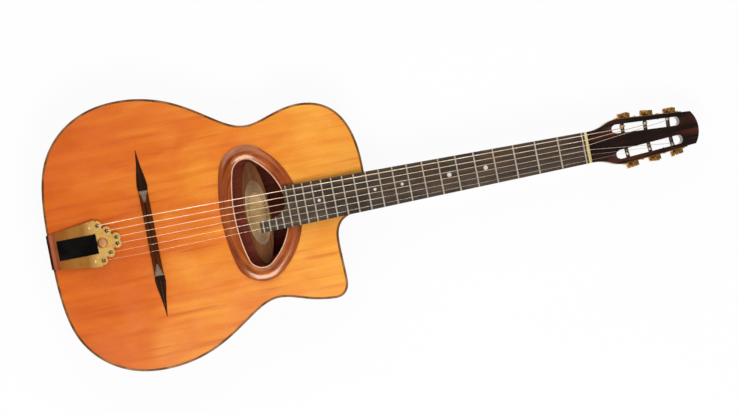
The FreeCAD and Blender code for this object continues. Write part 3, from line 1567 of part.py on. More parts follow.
def string_shape(index):
    """One string with the ball under its eyelet, up to the top of its roller."""
    diameter = STRING_DIAMETERS[index]
    radius = diameter / 2
    eye_x, eye_y = eyelet_for(index)
    ball_z = -s.tail_plate_thickness - s.ball_diameter / 2
    ball_at = tail_frame.multVec(Vector(eye_x, eye_y, ball_z))
    eye_top = tail_frame.multVec(Vector(eye_x, eye_y, s.eyelet_rise + radius + s.string_clearance))
    saddle = Vector(saddle_point.x, string_y(index, s.string_spread_saddle), saddle_point.z + radius)
    string_z = s.fret_crown_height + radius
    y = string_y(index, s.string_spread_nut)
    at_zero = neck_frame.multVec(Vector(zero_fret_x, y, string_z))
    past_nut = neck_frame.multVec(Vector(nut_back_x + s.string_bend, y, string_z))
    side, number = roller_for(index)
    lift = s.roller_diameter / 2 + radius + s.shaft_clearance
    across = side * string_hole_out(number)
    roller_top = Vector(roller_places[number], across, lift - s.roller_drop)
    at_roller = tuner_frame(side).multVec(roller_top)
    tube = string_tube([ball_at, eye_top, saddle, at_zero, past_nut, at_roller], diameter)
    ball_end = ball_at - Vector(0, s.ball_length / 2, 0)
    return tube.fuse(Part.makeCylinder(s.ball_diameter / 2, s.ball_length, ball_end, Y_AXIS))


wound, plain = [], []
for index in string_order:
    (wound if index < WOUND_COUNT else plain).append(string_shape(index))
keep(feature("wound_string_set", Part.Compound(wound)), "wound_strings")
keep(feature("plain_string_set", Part.Compound(plain)), "plain_strings")

doc.recompute()
failed = [obj.Name for obj in doc.Objects if "Invalid" in obj.State or "Error" in obj.State]
if failed:
    raise RuntimeError(f"these objects failed to build: {failed}")
os.makedirs("parts", exist_ok=True)
for node in nodes:
    if node.Shape.isNull() or not node.Shape.isValid():
        raise RuntimeError(f"{node.Label} has no valid shape")
    node.Shape.exportStep(f"parts/{node.Label}.step")
print(len(nodes), "sub-parts written")
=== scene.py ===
# %% [markdown]
# # An acoustic swing guitar with a D-shaped soundhole
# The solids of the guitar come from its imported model: every board, brace, string and tuner
# part is already there, at its real size. This lesson dresses them. It gives each wood,
# metal and paper a procedural finish, makes the small repeated pieces with Geometry Nodes,
# and sets up the photographer's camera and lights.

# %% Load the frame
import json
import math

import bpy
from mathutils import Matrix, Vector


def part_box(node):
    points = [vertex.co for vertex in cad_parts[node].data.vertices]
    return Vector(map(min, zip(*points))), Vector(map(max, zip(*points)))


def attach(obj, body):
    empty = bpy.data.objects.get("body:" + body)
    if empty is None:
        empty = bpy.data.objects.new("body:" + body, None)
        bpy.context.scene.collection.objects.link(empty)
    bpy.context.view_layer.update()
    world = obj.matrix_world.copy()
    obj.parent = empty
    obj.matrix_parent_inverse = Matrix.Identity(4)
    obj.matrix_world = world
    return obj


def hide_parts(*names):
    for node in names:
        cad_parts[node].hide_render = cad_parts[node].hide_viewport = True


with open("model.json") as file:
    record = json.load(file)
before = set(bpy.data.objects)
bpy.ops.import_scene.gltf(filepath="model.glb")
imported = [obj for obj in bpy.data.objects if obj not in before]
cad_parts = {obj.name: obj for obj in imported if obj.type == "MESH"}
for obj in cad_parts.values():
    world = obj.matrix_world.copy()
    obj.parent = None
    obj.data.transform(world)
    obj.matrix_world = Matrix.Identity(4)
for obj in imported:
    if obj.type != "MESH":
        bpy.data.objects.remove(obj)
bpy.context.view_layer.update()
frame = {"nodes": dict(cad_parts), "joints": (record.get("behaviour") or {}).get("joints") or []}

# %% [markdown]
# ## The camera
# The guitar lies on its back and the picture is taken from straight above, with a long
# lens, so the sides hardly show. The neck points to the right and a little upwards, which
# is a plain turn of the camera about its own line of sight. A perspective camera ten
# metres up keeps just the slight widening that a long lens gives to the raised parts.

# %% Camera straight above
VIEW_CENTRE = (0.316, -0.0235)
VIEW_WIDTH = 1.0742
CAMERA_RISE = 10.0
TOP_LEVEL = 0.102
NECK_TURN = math.radians(11.1)

camera_data = bpy.data.cameras.new("long_lens")
camera_data.sensor_width = 36.0
camera_data.lens = camera_data.sensor_width * CAMERA_RISE / VIEW_WIDTH
camera_data.clip_end = 50.0
camera = bpy.data.objects.new("long_lens", camera_data)
camera.location = (*VIEW_CENTRE, TOP_LEVEL + CAMERA_RISE)
camera.rotation_euler = (0.0, 0.0, -NECK_TURN)
bpy.context.scene.collection.objects.link(camera)
bpy.context.scene.camera = camera
print("lens", round(camera_data.lens, 1), "mm")

# %% [markdown]
# ## Light
# A bright soft box hangs over the treble side, a little way down from the zenith. It shows
# only where a surface turns towards it: a long crescent on the near end of the soundhole's
# moulding, and lines along the frets and strings. A larger and much weaker one over the
# bass side fills the shadows and leaves no highlight of its own. Two low strips at the
# sides catch the steep ends of the bridge. Each row below is a lamp's name, its place, its
# size and how bright its face looks. The power follows from that brightness, because the
# face is what a polished surface shows.

# %% Soft boxes
BODY_MIDDLE = Vector((0.16, 0.0, TOP_LEVEL))
SOFT_BOXES = (("treble_soft_box", (0.25, -0.88, 2.05), (1.1, 0.85), 8.9),
              ("bass_soft_box", (0.12, 1.3, 1.9), (2.4, 1.8), 1.5),
              ("treble_strip", (0.0, -2.6, 1.1), (0.8, 0.4), 10.5),
              ("bass_strip", (0.0, 2.6, 1.1), (0.8, 0.4), 10.5))

for name, spot, size, brightness in SOFT_BOXES:
    lamp = bpy.data.lights.new(name, "AREA")
    lamp.shape = "RECTANGLE"
    lamp.size, lamp.size_y = size
    lamp.energy = brightness * math.pi * size[0] * size[1]
    box = bpy.data.objects.new(name, lamp)
    box.location = spot
    box.rotation_euler = (BODY_MIDDLE - Vector(spot)).to_track_quat("-Z", "Y").to_euler()
    box.visible_camera = False
    bpy.context.scene.collection.objects.link(box)
    print(name, round(lamp.energy, 1), "W")

# %% [markdown]
# ## Helpers for trees of nodes
# The room, the floor and all finishes are trees of nodes. The first helper makes a node in
# one call: its settings go in by name, and each input is either linked to an output of
# another node or given a plain value. The others use it for a step of arithmetic, for
# taking a share of a mask, for splitting a place into its axes and for mapping one range of
# values to another.

# %% Helpers for trees
def add(tree, kind, inputs=None, **settings):
    node = tree.nodes.new(kind)
    for name, value in settings.items():
        setattr(node, name, value)
    for socket, value in (inputs or {}).items():
        if isinstance(value, bpy.types.NodeSocket):
            tree.links.new(value, node.inputs[socket])
        else:
            node.inputs[socket].default_value = value
    return node


def math_of(tree, operation, *terms, clamp=False):
    node = add(tree, "ShaderNodeMath", dict(enumerate(terms)), operation=operation,
               use_clamp=clamp)
    return node.outputs[0]


def share_of(tree, mask, share):
    return math_of(tree, "MULTIPLY", mask, share)


def axes_of(tree, place):
    return add(tree, "ShaderNodeSeparateXYZ", {0: place}).outputs


def spread(tree, value, low, high, to_low=0.0, to_high=1.0, **settings):
    node = add(tree, "ShaderNodeMapRange", {"Value": value, "From Min": low, "From Max": high,
                                            "To Min": to_low, "To Max": to_high}, **settings)
    return node.outputs["Result"]


# %% [markdown]
# ## The room
# Varnish that faces straight up mirrors what is straight above it. Over a copy stand that
# is the dark ceiling round the camera, and it is what keeps blacks black and the amber
# deep. So the room is a soft grey that fades to dark at the zenith, by the height of the
# direction looked at. The camera itself sees an even, pale backdrop.

# %% World
ROOM_BRIGHTNESS = 0.45
ZENITH_BRIGHTNESS = 0.1
FADE_START = 0.6
FADE_END = 0.93

world = bpy.data.worlds.new("studio")
world.use_nodes = True
sky = world.node_tree
sky.nodes.clear()
height = axes_of(sky, add(sky, "ShaderNodeTexCoord").outputs["Generated"])["Z"]
ceiling = spread(sky, height, FADE_START, FADE_END, ROOM_BRIGHTNESS, ZENITH_BRIGHTNESS,
                 interpolation_type="SMOOTHSTEP")
room = add(sky, "ShaderNodeBackground", {"Strength": ceiling})
backdrop = add(sky, "ShaderNodeBackground", {"Strength": 1.0})
ray = add(sky, "ShaderNodeLightPath").outputs
shown = add(sky, "ShaderNodeMixShader",
            {0: ray["Is Camera Ray"], 1: room.outputs[0], 2: backdrop.outputs[0]})
add(sky, "ShaderNodeOutputWorld", {"Surface": shown.outputs[0]})
bpy.context.scene.world = world
bpy.context.scene.view_settings.view_transform = "Standard"
print("room", ROOM_BRIGHTNESS, "zenith", ZENITH_BRIGHTNESS)

# %% [markdown]
# ## The floor
# The guitar lies on a white sweep. A floor that is only painted white comes out grey where
# the light falls off, so most of what the camera, a mirror or a glass sees of it is white of
# its own. The rest is ordinary paint that still takes the guitar's soft shadow, and the
# light that the floor throws back is that of paint alone. It lies a hair below the back, so
# that the two never share one plane.

# %% White floor
FLOOR_HALF = 8.0
FLOOR_LEVEL = -0.0003
FLOOR_PAINT = (0.93, 0.93, 0.93, 1.0)
FLOOR_OWN_WHITE = 0.93

floor_mesh = bpy.data.meshes.new("floor")
floor_mesh.from_pydata([(end * FLOOR_HALF, side * FLOOR_HALF, FLOOR_LEVEL)
                        for end, side in ((-1, -1), (1, -1), (1, 1), (-1, 1))],
                       [], [(0, 1, 2, 3)])
floor = bpy.data.objects.new("floor", floor_mesh)
bpy.context.scene.collection.objects.link(floor)
floor_finish = bpy.data.materials.new("white_sweep")
floor_finish.use_nodes = True
sweep = floor_finish.node_tree
sweep.nodes.clear()
paint = add(sweep, "ShaderNodeBsdfDiffuse", {"Color": FLOOR_PAINT})
own_white = add(sweep, "ShaderNodeEmission", {"Strength": 1.0})
seen = add(sweep, "ShaderNodeMixShader",
           {0: FLOOR_OWN_WHITE, 1: paint.outputs[0], 2: own_white.outputs[0]})
ray = add(sweep, "ShaderNodeLightPath").outputs
in_sight = math_of(sweep, "MAXIMUM", ray["Is Camera Ray"], ray["Is Glossy Ray"])
in_sight = math_of(sweep, "MAXIMUM", in_sight, ray["Is Transmission Ray"])
by_ray = add(sweep, "ShaderNodeMixShader",
             {0: in_sight, 1: paint.outputs[0], 2: seen.outputs[0]})
add(sweep, "ShaderNodeOutputMaterial", {"Surface": by_ray.outputs[0]})
floor_mesh.materials.append(floor_finish)

# %% [markdown]
# ## Building shader groups
# Wood fibres, scuffs, tarnish and dust turn up on several finishes, each at its own scale.
# A shader node group holds such an effect once, with named inputs and outputs, and every
# material that needs it sets its own numbers on it. One helper lists a tree's inputs, one
# starts a group and one hands its results out. Two more divide a place by the length, width
# and depth of one grain, and make noise of that grain. So the sizes on a group are plain
# lengths in metres.

# %% Helpers for shader groups
def name_inputs(tree, inputs):
    for label, kind, value in inputs:
        socket = tree.interface.new_socket(name=label, in_out="INPUT",
                                           socket_type="NodeSocket" + kind)
        if value is not None:
            socket.default_value = value


def effect(name, inputs, outputs):
    group = bpy.data.node_groups.new(name, "ShaderNodeTree")
    name_inputs(group, [("Vector", "Vector", None), *inputs])
    for label in outputs:
        group.interface.new_socket(name=label, in_out="OUTPUT", socket_type="NodeSocketFloat")
    return group, group.nodes.new("NodeGroupInput").outputs


def hand_out(group, **results):
    add(group, "NodeGroupOutput", results)


def in_sizes(tree, place, size):
    return add(tree, "ShaderNodeVectorMath", {0: place, 1: size}, operation="DIVIDE").outputs[0]


def noise(tree, place, size, detail, roughness=0.5, distortion=0.0):
    node = add(tree, "ShaderNodeTexNoise",
               {"Vector": in_sizes(tree, place, size), "Scale": 1.0, "Detail": detail,
                "Roughness": roughness, "Distortion": distortion})
    return node.outputs[0]


# %% [markdown]
# ## Wood fibres
# Split spruce shows hundreds of fine dark lines that run the length of the board, with
# wider, softer bands of colour under them, and clouds where the light catches the grain.
# All three are noise, at three sizes. For the lines and the bands it is stretched many
# times along the board.

# %% Group: wood_fibres
fibres, given = effect(
    "wood_fibres",
    [("Fibre Size", "Vector", (0.15, 0.0012, 0.15)), ("Band Size", "Vector", (0.3, 0.015, 0.3)),
     ("Cloud Size", "Vector", (0.09, 0.09, 0.09))],
    ["Fibres", "Bands", "Clouds", "Height"])
fine = noise(fibres, given["Vector"], given["Fibre Size"], 3.0, roughness=0.6)
wide = noise(fibres, given["Vector"], given["Band Size"], 2.0, distortion=0.3)
broad = noise(fibres, given["Vector"], given["Cloud Size"], 3.0, distortion=0.6)
fine, wide, broad = (spread(fibres, level, 0.3, 0.7) for level in (fine, wide, broad))
hand_out(fibres, Fibres=fine, Bands=wide, Clouds=broad,
         Height=math_of(fibres, "ADD", share_of(fibres, fine, 0.7), share_of(fibres, wide, 0.3)))

# %% [markdown]
# ## Pores
# Walnut, rosewood and ebony are open-grained: short dark pores lie along the fibres, a
# millimetre or two long. Stretched Voronoi cells give separate specks where noise would
# give a mist, and a threshold keeps only the middle of some of them.

# %% Group: wood_pores
pores, given = effect(
    "wood_pores",
    [("Pore Size", "Vector", (0.004, 0.0006, 0.0006)), ("Amount", "Float", 0.4)], ["Pores"])
cells = add(pores, "ShaderNodeTexVoronoi",
            {"Vector": in_sizes(pores, given["Vector"], given["Pore Size"]), "Scale": 1.0})
pick = add(pores, "ShaderNodeSeparateColor", {"Color": cells.outputs["Color"]})
kept = math_of(pores, "LESS_THAN", pick.outputs[0], given["Amount"])
hand_out(pores, Pores=share_of(pores, spread(pores, cells.outputs["Distance"], 0.42, 0.18), kept))

# %% [markdown]
# ## Handling
# Varnish that has been played and wiped for years is never evenly glossy. Broad smudges
# dull it here and there, and hairline scratches run across it in one main direction. The
# group gives the two as separate masks: smudges for the roughness, hairlines for the bump.

# %% Group: handling
handling, given = effect(
    "handling",
    [("Smudge Size", "Float", 0.05), ("Scratch Size", "Vector", (0.04, 0.0004, 0.04)),
     ("Scratch Turn", "Vector", (0.0, 0.0, 0.7))],
    ["Smudges", "Hairlines"])
smudges = noise(handling, given["Vector"], given["Smudge Size"], 5.0, roughness=0.65)
turned = add(handling, "ShaderNodeVectorRotate",
             {"Vector": given["Vector"], "Rotation": given["Scratch Turn"]},
             rotation_type="EULER_XYZ")
scratches = noise(handling, turned.outputs[0], given["Scratch Size"], 1.0)
hand_out(handling, Smudges=spread(handling, smudges, 0.38, 0.66),
         Hairlines=spread(handling, scratches, 0.66, 0.74))

# %% [markdown]
# ## Tarnish
# Brass and plated parts darken in blotches with a speckled rim. Two noises, one broad and
# one fine, are multiplied so that the specks gather inside the blotches, and a fine
# brushed grain is given apart for the bump.

# %% Group: tarnish
tarnish, given = effect(
    "tarnish",
    [("Patch Size", "Float", 0.012), ("Speck Size", "Float", 0.0012),
     ("Brush Size", "Vector", (0.02, 0.0002, 0.0002))],
    ["Patches", "Specks", "Brushing"])
patches = noise(tarnish, given["Vector"], given["Patch Size"], 4.0, distortion=0.4)
patches = spread(tarnish, patches, 0.38, 0.64)
specks = spread(tarnish, noise(tarnish, given["Vector"], given["Speck Size"], 2.0), 0.5, 0.62)
hand_out(tarnish, Patches=patches, Specks=share_of(tarnish, specks, patches),
         Brushing=noise(tarnish, given["Vector"], given["Brush Size"], 1.0))

# %% [markdown]
# ## Dust
# Inside the body dust has settled on whatever faces up. The surface's own normal tells
# which way it faces, and a fine noise breaks the layer up.

# %% Group: settled_dust
dust, given = effect("settled_dust", [("Grain Size", "Float", 0.0025)], ["Dust"])
facing = add(dust, "ShaderNodeNewGeometry").outputs["Normal"]
upward = spread(dust, axes_of(dust, facing)["Z"], 0.5, 0.95)
grains = noise(dust, given["Vector"], given["Grain Size"], 6.0, roughness=0.75)
hand_out(dust, Dust=share_of(dust, upward, spread(dust, grains, 0.42, 0.68)))
print("effects:", sorted(group.name for group in bpy.data.node_groups))

# %% [markdown]
# ## Starting a finish
# Every finish starts the same way: a material with one Principled shader, the object's own
# coordinates, and helpers to mix two colours by a mask, to spread a mask over a ramp of
# colours and to turn it into relief. Colours are written as the screen shows them and
# turned to linear light here. Plain numbers, such as the strength of a clear coat, go
# straight on the shader. No real edge is perfectly sharp, so the relief can also round the
# normals near an edge, which gives worn wood and pressed metal their thin bright outlines.

# %% Helpers for finishes
def tint(code):
    parts = [int(code[i:i + 2], 16) / 255 for i in (0, 2, 4)]
    return (*[c / 12.92 if c <= 0.04045 else ((c + 0.055) / 1.055) ** 2.4 for c in parts], 1.0)


def new_finish(name, **numbers):
    material = bpy.data.materials.new(name)
    material.use_nodes = True
    tree = material.node_tree
    tree.nodes.clear()
    shader = add(tree, "ShaderNodeBsdfPrincipled", {
        label.replace("_", " ").title().replace("Ior", "IOR"): value
        for label, value in numbers.items()})
    add(tree, "ShaderNodeOutputMaterial", {"Surface": shader.outputs[0]})
    return material, tree, shader, add(tree, "ShaderNodeTexCoord").outputs["Object"]


def use(tree, group, place, **sizes):
    named = {label.replace("_", " ").title(): value for label, value in sizes.items()}
    return add(tree, "ShaderNodeGroup", {"Vector": place, **named}, node_tree=group).outputs


def blend(tree, mask, first, second):
    node = add(tree, "ShaderNodeMix", {0: mask, 6: first, 7: second}, data_type="RGBA")
    return node.outputs[2]


def ramp(tree, mask, stops):
    node = add(tree, "ShaderNodeValToRGB", {"Fac": mask})
    bands = node.color_ramp.elements
    while len(bands) < len(stops):
        bands.new(0.5)
    for band, (position, colour) in zip(bands, stops):
        band.position = position
        band.color = tint(colour)
    return node.outputs["Color"]


def dress(tree, shader, colour, mask, smooth, rough):
    tree.links.new(colour, shader.inputs["Base Color"])
    tree.links.new(spread(tree, mask, 0.0, 1.0, smooth, rough), shader.inputs["Roughness"])


def relief(tree, shader, height, depth, strength, edge=0.0):
    bump = add(tree, "ShaderNodeBump", {"Height": height, "Distance": depth,
                                        "Strength": strength})
    if edge:
        rounded = add(tree, "ShaderNodeBevel", {"Radius": edge}, samples=4)
        tree.links.new(rounded.outputs[0], bump.inputs["Normal"])
    tree.links.new(bump.outputs[0], shader.inputs["Normal"])


# %% [markdown]
# ## Amber top
# The spruce top wears a thin orange spirit varnish. It is deeper and redder at the tail and
# on the bass side, lighter and yellower towards the neck, and cloudy in between where it
# was laid on by hand. The lighter, yellower part on the treble side towards the neck is
# partly the varnish and partly a painted sheen, the glow of the treble soft box on the
# domed top. The long change of colour is a ramp along the body; clouds and bands push the
# place on that ramp to and fro, so they stay in the same family of colours. A few of the
# bands are red streaks, and fine fibres darken the whole.

# %% Finish: top_varnish
def amber_top():
    material, tree, shader, place = new_finish("top_varnish", coat_weight=0.35,
                                               coat_roughness=0.1, specular_ior_level=0.25)
    wood = use(tree, fibres, place, fibre_size=(0.2, 0.0011, 0.2), band_size=(0.16, 0.009, 0.4),
               cloud_size=(0.12, 0.05, 0.1))
    axes = axes_of(tree, place)
    # painted sheen: the ramp runs lighter towards the neck and the treble side, partly for the
    # treble soft box's glow on the dome
    tone_and_sheen_slant = math_of(tree, "ADD", axes["X"], share_of(tree, axes["Y"], -0.2))
    pushed = math_of(tree, "ADD", spread(tree, tone_and_sheen_slant, -0.17, 0.3),
                     spread(tree, wood["Clouds"], 0.0, 1.0, -0.26, 0.26))
    pushed = math_of(tree, "ADD", pushed, spread(tree, wood["Bands"], 0.0, 1.0, 0.12, -0.12),
                     clamp=True)
    amber = ramp(tree, pushed, [(0.0, "d3611a"), (0.25, "df6e20"), (0.5, "e98028"),
                                (0.72, "f39533"), (1.0, "fbac40")])
    streaks = spread(tree, wood["Bands"], 0.72, 1.0, 0.0, 0.38)
    amber = blend(tree, streaks, amber, tint("c4521c"))
    amber = blend(tree, share_of(tree, wood["Fibres"], 0.22), amber, tint("b5501d"))
    worn = use(tree, handling, place, smudge_size=0.045, scratch_size=(0.05, 0.0005, 0.05))
    dress(tree, shader, amber, worn["Smudges"], 0.2, 0.34)
    ridges = math_of(tree, "ADD", wood["Height"], share_of(tree, worn["Hairlines"], -0.6))
    relief(tree, shader, ridges, 0.00006, 0.5)
    return material


# %% [markdown]
# ## Polished dark woods
# The sides, back, neck, head veneer, soundhole moulding and bridge are all hardwoods under
# varnish, and the fingerboard is one that is only oiled. They differ in colour, in the run
# of the fibres and in how open the pores are. One function makes them, so that they are
# plainly the same craft, and each call gives the colours and sizes of its own wood. Round
# the soundhole the fibres follow the moulding, so that one reads its place as a turn and a
# reach about the hole's middle. The turn has to start somewhere, and it does so under the
# fingerboard, where nobody sees the join.

# %% Finish: polished wood
HOLE_MIDDLE = (0.161, 0.0, 0.0)
HOLE_SQUEEZE = (0.57, 1.0, 1.0)
TURN_LENGTH = 0.08


def reach_of(tree, axes):
    flat = add(tree, "ShaderNodeCombineXYZ", {"X": axes["X"], "Y": axes["Y"]})
    node = add(tree, "ShaderNodeVectorMath", {0: flat.outputs[0]}, operation="LENGTH")
    return node.outputs["Value"]


def round_the_hole(tree, place):
    mapped = add(tree, "ShaderNodeMapping", {"Vector": place, "Location": HOLE_MIDDLE,
                                             "Scale": HOLE_SQUEEZE}, vector_type="TEXTURE")
    axes = axes_of(tree, mapped.outputs[0])
    turn = math_of(tree, "ARCTAN2", axes["Y"], share_of(tree, axes["X"], -1.0))
    laid_out = add(tree, "ShaderNodeCombineXYZ",
                   {"X": share_of(tree, turn, TURN_LENGTH), "Y": reach_of(tree, axes),
                    "Z": axes["Z"]})
    return laid_out.outputs[0]


def polished_wood(name, dark, middle, pale, fibre, band, pore, pore_amount=0.35, clouds=0.06,
                  shine=(0.18, 0.4), edge=0.0, path=None, **coat):
    material, tree, shader, place = new_finish(name, **coat)
    grain = path(tree, place) if path else place
    wood = use(tree, fibres, grain, fibre_size=fibre, band_size=band, cloud_size=(clouds,) * 3)
    open_grain = use(tree, pores, grain, pore_size=pore, amount=pore_amount)
    worn = use(tree, handling, place, smudge_size=0.03)
    tone = math_of(tree, "ADD", share_of(tree, wood["Bands"], 0.6),
                   share_of(tree, wood["Fibres"], 0.4))
    tone = math_of(tree, "ADD", share_of(tree, tone, 0.75), share_of(tree, wood["Clouds"], 0.25))
    colour = ramp(tree, tone, [(0.15, dark), (0.5, middle), (0.85, pale)])
    colour = blend(tree, share_of(tree, open_grain["Pores"], 0.55), colour, tint(dark))
    dress(tree, shader, colour, worn["Smudges"], *shine)
    hollows = math_of(tree, "ADD", share_of(tree, open_grain["Pores"], 0.9),
                      share_of(tree, worn["Hairlines"], 0.4))
    height = math_of(tree, "SUBTRACT", wood["Height"], hollows)
    relief(tree, shader, height, 0.00004, 0.5, edge)
    return material


# %% [markdown]
# ## Bare inner wood and the dusty inner shell
# Nobody varnishes the braces, linings and blocks, so they stay pale, dry and matt. The
# inner sound box, seen through the soundhole, is red-brown with years of dust on it. Both
# use the fibres and the dust, which paints over the colour and dulls the surface.

# %% Finish: bare wood
def bare_wood(name, dark, pale, fibre, band, dust_colour, dust_share):
    material, tree, shader, place = new_finish(name, specular_ior_level=0.15)
    wood = use(tree, fibres, place, fibre_size=fibre, band_size=band,
               cloud_size=(0.04, 0.04, 0.04))
    layer = use(tree, dust, place, grain_size=0.003)
    dusted = share_of(tree, layer["Dust"], dust_share)
    colour = ramp(tree, wood["Height"], [(0.2, dark), (0.85, pale)])
    dress(tree, shader, blend(tree, dusted, colour, tint(dust_colour)), dusted, 0.52, 0.95)
    relief(tree, shader, wood["Height"], 0.0001, 0.6)
    return material


# %% [markdown]
# ## Bindings
# The edges are covered with a dark brown binding and the soundhole has a thin pale lining
# inside its moulding. Both are smooth strips, scraped by hand, so they show faint scraper
# marks and a slightly uneven gloss rather than any grain. The black insert of the tailpiece
# is as smooth, and is finished the same way.

# %% Finish: binding strip
def binding_strip(name, deep, light, shine=(0.22, 0.45), edge=0.0, **coat):
    material, tree, shader, place = new_finish(name, **coat)
    marks = use(tree, tarnish, place, patch_size=0.02, speck_size=0.0015)
    worn = use(tree, handling, place, smudge_size=0.02)
    colour = ramp(tree, marks["Patches"], [(0.0, deep), (1.0, light)])
    dress(tree, shader, colour, worn["Smudges"], *shine)
    relief(tree, shader, worn["Hairlines"], 0.00003, 0.4, edge)
    return material


# %% [markdown]
# ## Metals
# Brass, nickel silver and steel differ in their bright colour, in how far they have
# tarnished and in how finely they were brushed. The metal keeps a plain Metallic of 1 on
# the shader, and the tarnish only makes the surface darker and rougher. The tailpiece is
# gold at its scalloped end and copper brown towards the tail; it has a rosy line where it
# starts to bend, and over the edge it is painted nearly black, a painted shade on the bend.
# So a metal can also change colour along the guitar, one stretch after the other, and in
# round spots, such as a copper boss, or a painted highlight on the head of a rivet.

# %% Finish: worn metal
SPOT_RIM = 0.0004


def worn_metal(name, bright, dull, deep, shine=(0.22, 0.5), patch=0.012, speck=0.0012,
               brush=(0.02, 0.00025, 0.00025), edge=0.0, fades_and_shade=(), spots_and_glints=()):
    material, tree, shader, place = new_finish(name, metallic=1.0)
    marks = use(tree, tarnish, place, patch_size=patch, speck_size=speck, brush_size=brush)
    colour = blend(tree, marks["Patches"], tint(bright), tint(dull))
    # each fade hands over to a new colour along the guitar; the tailpiece's last one is painted
    # shade on the bend
    for start, stop, later in fades_and_shade:
        passed = spread(tree, axes_of(tree, place)["X"], start, stop)
        colour = blend(tree, passed, colour, tint(later))
    # a spot is either a real colour, such as the boss, or a painted highlight, such as the rivet
    # heads
    for middle, radius, other in spots_and_glints:
        flat = add(tree, "ShaderNodeVectorMath", {0: place, 1: (1, 1, 0)}, operation="MULTIPLY")
        reach = add(tree, "ShaderNodeVectorMath", {0: flat.outputs[0], 1: middle},
                    operation="DISTANCE").outputs["Value"]
        colour = blend(tree, spread(tree, reach, radius + SPOT_RIM, radius), colour, tint(other))
    colour = blend(tree, share_of(tree, marks["Specks"], 0.7), colour, tint(deep))
    rough = math_of(tree, "ADD", marks["Patches"], share_of(tree, marks["Specks"], 0.5),
                    clamp=True)
    dress(tree, shader, colour, rough, *shine)
    surface = math_of(tree, "SUBTRACT", share_of(tree, marks["Brushing"], 0.6),
                      marks["Specks"])
    relief(tree, shader, surface, 0.00002, 0.5, edge)
    return material


# %% [markdown]
# ## Strings
# A wound string is a steel core with bright bronze wire wrapped round it, two or three
# turns to a millimetre. Modelled turn by turn that is thousands of loops, so the turns are
# a fine wave along the neck in the bump, and the solids stay plain cords. The hollows
# between the turns are also painted darker, as painted shade in the grooves of the wrap.
# Fingers have dulled the wrap, so it is a little less than fully metallic. The two thinnest
# strings are bare steel with a soft shine.

# %% Finish: strings
WINDING_PITCH = 0.0004


def wound_wire():
    material, tree, shader, place = new_finish("wound_string", metallic=0.7)
    marks = use(tree, tarnish, place, patch_size=0.03, speck_size=0.001)
    along = axes_of(tree, place)["X"]
    turns = math_of(tree, "SINE", share_of(tree, along, math.tau / WINDING_PITCH))
    colour = blend(tree, marks["Patches"], tint("fdecd4"), tint("efcda6"))
    # painted shade: the hollows between the turns are darkened
    colour = blend(tree, spread(tree, turns, 0.2, -1.0, 0.0, 0.25), colour, tint("8d6751"))
    dress(tree, shader, colour, marks["Patches"], 0.34, 0.5)
    relief(tree, shader, turns, 0.00003, 0.35)
    return material


# %% [markdown]
# ## Paper label
# A label is glued to the inner shell below the soundhole. It is aged tan paper with a
# printed oval border of small beads between two thin lines, and nothing else. The border
# follows the distance from the label's middle, measured after a Mapping node has made its
# oval a unit circle; the beads come from the angle round it. Its two ends are painted
# darker, a painted shade where little light reaches into the body.

# %% Finish: label_paper
BEADS = 44.0
BEAD_BAND = (0.76, 0.08)
BORDER_LINES = ((0.66, 0.012), (0.87, 0.012))


def aged_label():
    low, high = (Vector(corner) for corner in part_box("label"))
    middle, half = (low + high) / 2, (high - low) / 2
    material, tree, shader, place = new_finish("label_paper", sheen_weight=0.1)
    mapped = add(tree, "ShaderNodeMapping",
                 {"Vector": place, "Location": middle, "Scale": (half.x, half.y, 1.0)},
                 vector_type="TEXTURE")
    axes = axes_of(tree, mapped.outputs[0])
    reach = reach_of(tree, axes)
    turn = math_of(tree, "ARCTAN2", axes["Y"], axes["X"])
    beads = math_of(tree, "SINE", share_of(tree, turn, BEADS))
    ink = share_of(tree, math_of(tree, "COMPARE", reach, *BEAD_BAND),
                   spread(tree, beads, -0.2, 0.4))
    for line in BORDER_LINES:
        ink = math_of(tree, "MAXIMUM", ink, math_of(tree, "COMPARE", reach, *line))
    marks = use(tree, tarnish, place, patch_size=0.018, speck_size=0.0012)
    layer = use(tree, dust, place, grain_size=0.002)
    paper = blend(tree, marks["Patches"], tint("d3ab6e"), tint("b28b55"))
    # painted shade: the paper darkens towards its two ends
    shaded_ends = spread(tree, math_of(tree, "ABSOLUTE", axes["Y"]), 0.3, 0.95, 0.0, 0.85)
    paper = blend(tree, shaded_ends, paper, tint("745039"))
    for mask, share, colour in ((ink, 0.7, "5b4026"), (marks["Specks"], 0.5, "6b4a28"),
                                (layer["Dust"], 0.3, "a0917b")):
        paper = blend(tree, share_of(tree, mask, share), paper, tint(colour))
    dress(tree, shader, paper, marks["Patches"], 0.7, 0.9)
    relief(tree, shader, marks["Brushing"], 0.00008, 0.4)
    return material


# %% [markdown]
# ## Mother of pearl and bone
# The position dots are cut from shell, whose thin layers reflect a shifting mix of pale
# pink, green and blue. Wavy bands of those tints, under a strong clear coat, read as shell
# at this size. The nut is bone: cream, with faint darker canals along it.

# %% Finish: pearl and bone
def shell_pearl():
    material, tree, shader, place = new_finish("pearl", coat_weight=0.8, coat_roughness=0.05,
                                               metallic=0.25)
    waves = add(tree, "ShaderNodeTexWave", {"Vector": place, "Scale": 260.0, "Distortion": 9.0,
                                            "Detail": 3.0, "Detail Scale": 1.5}).outputs["Fac"]
    colour = ramp(tree, waves, [(0.0, "e9e4dc"), (0.35, "d8e6e0"), (0.6, "f1dfe0"),
                                (0.8, "dfe3f0"), (1.0, "faf7f0")])
    dress(tree, shader, colour, waves, 0.12, 0.3)
    relief(tree, shader, waves, 0.00002, 0.3)
    return material


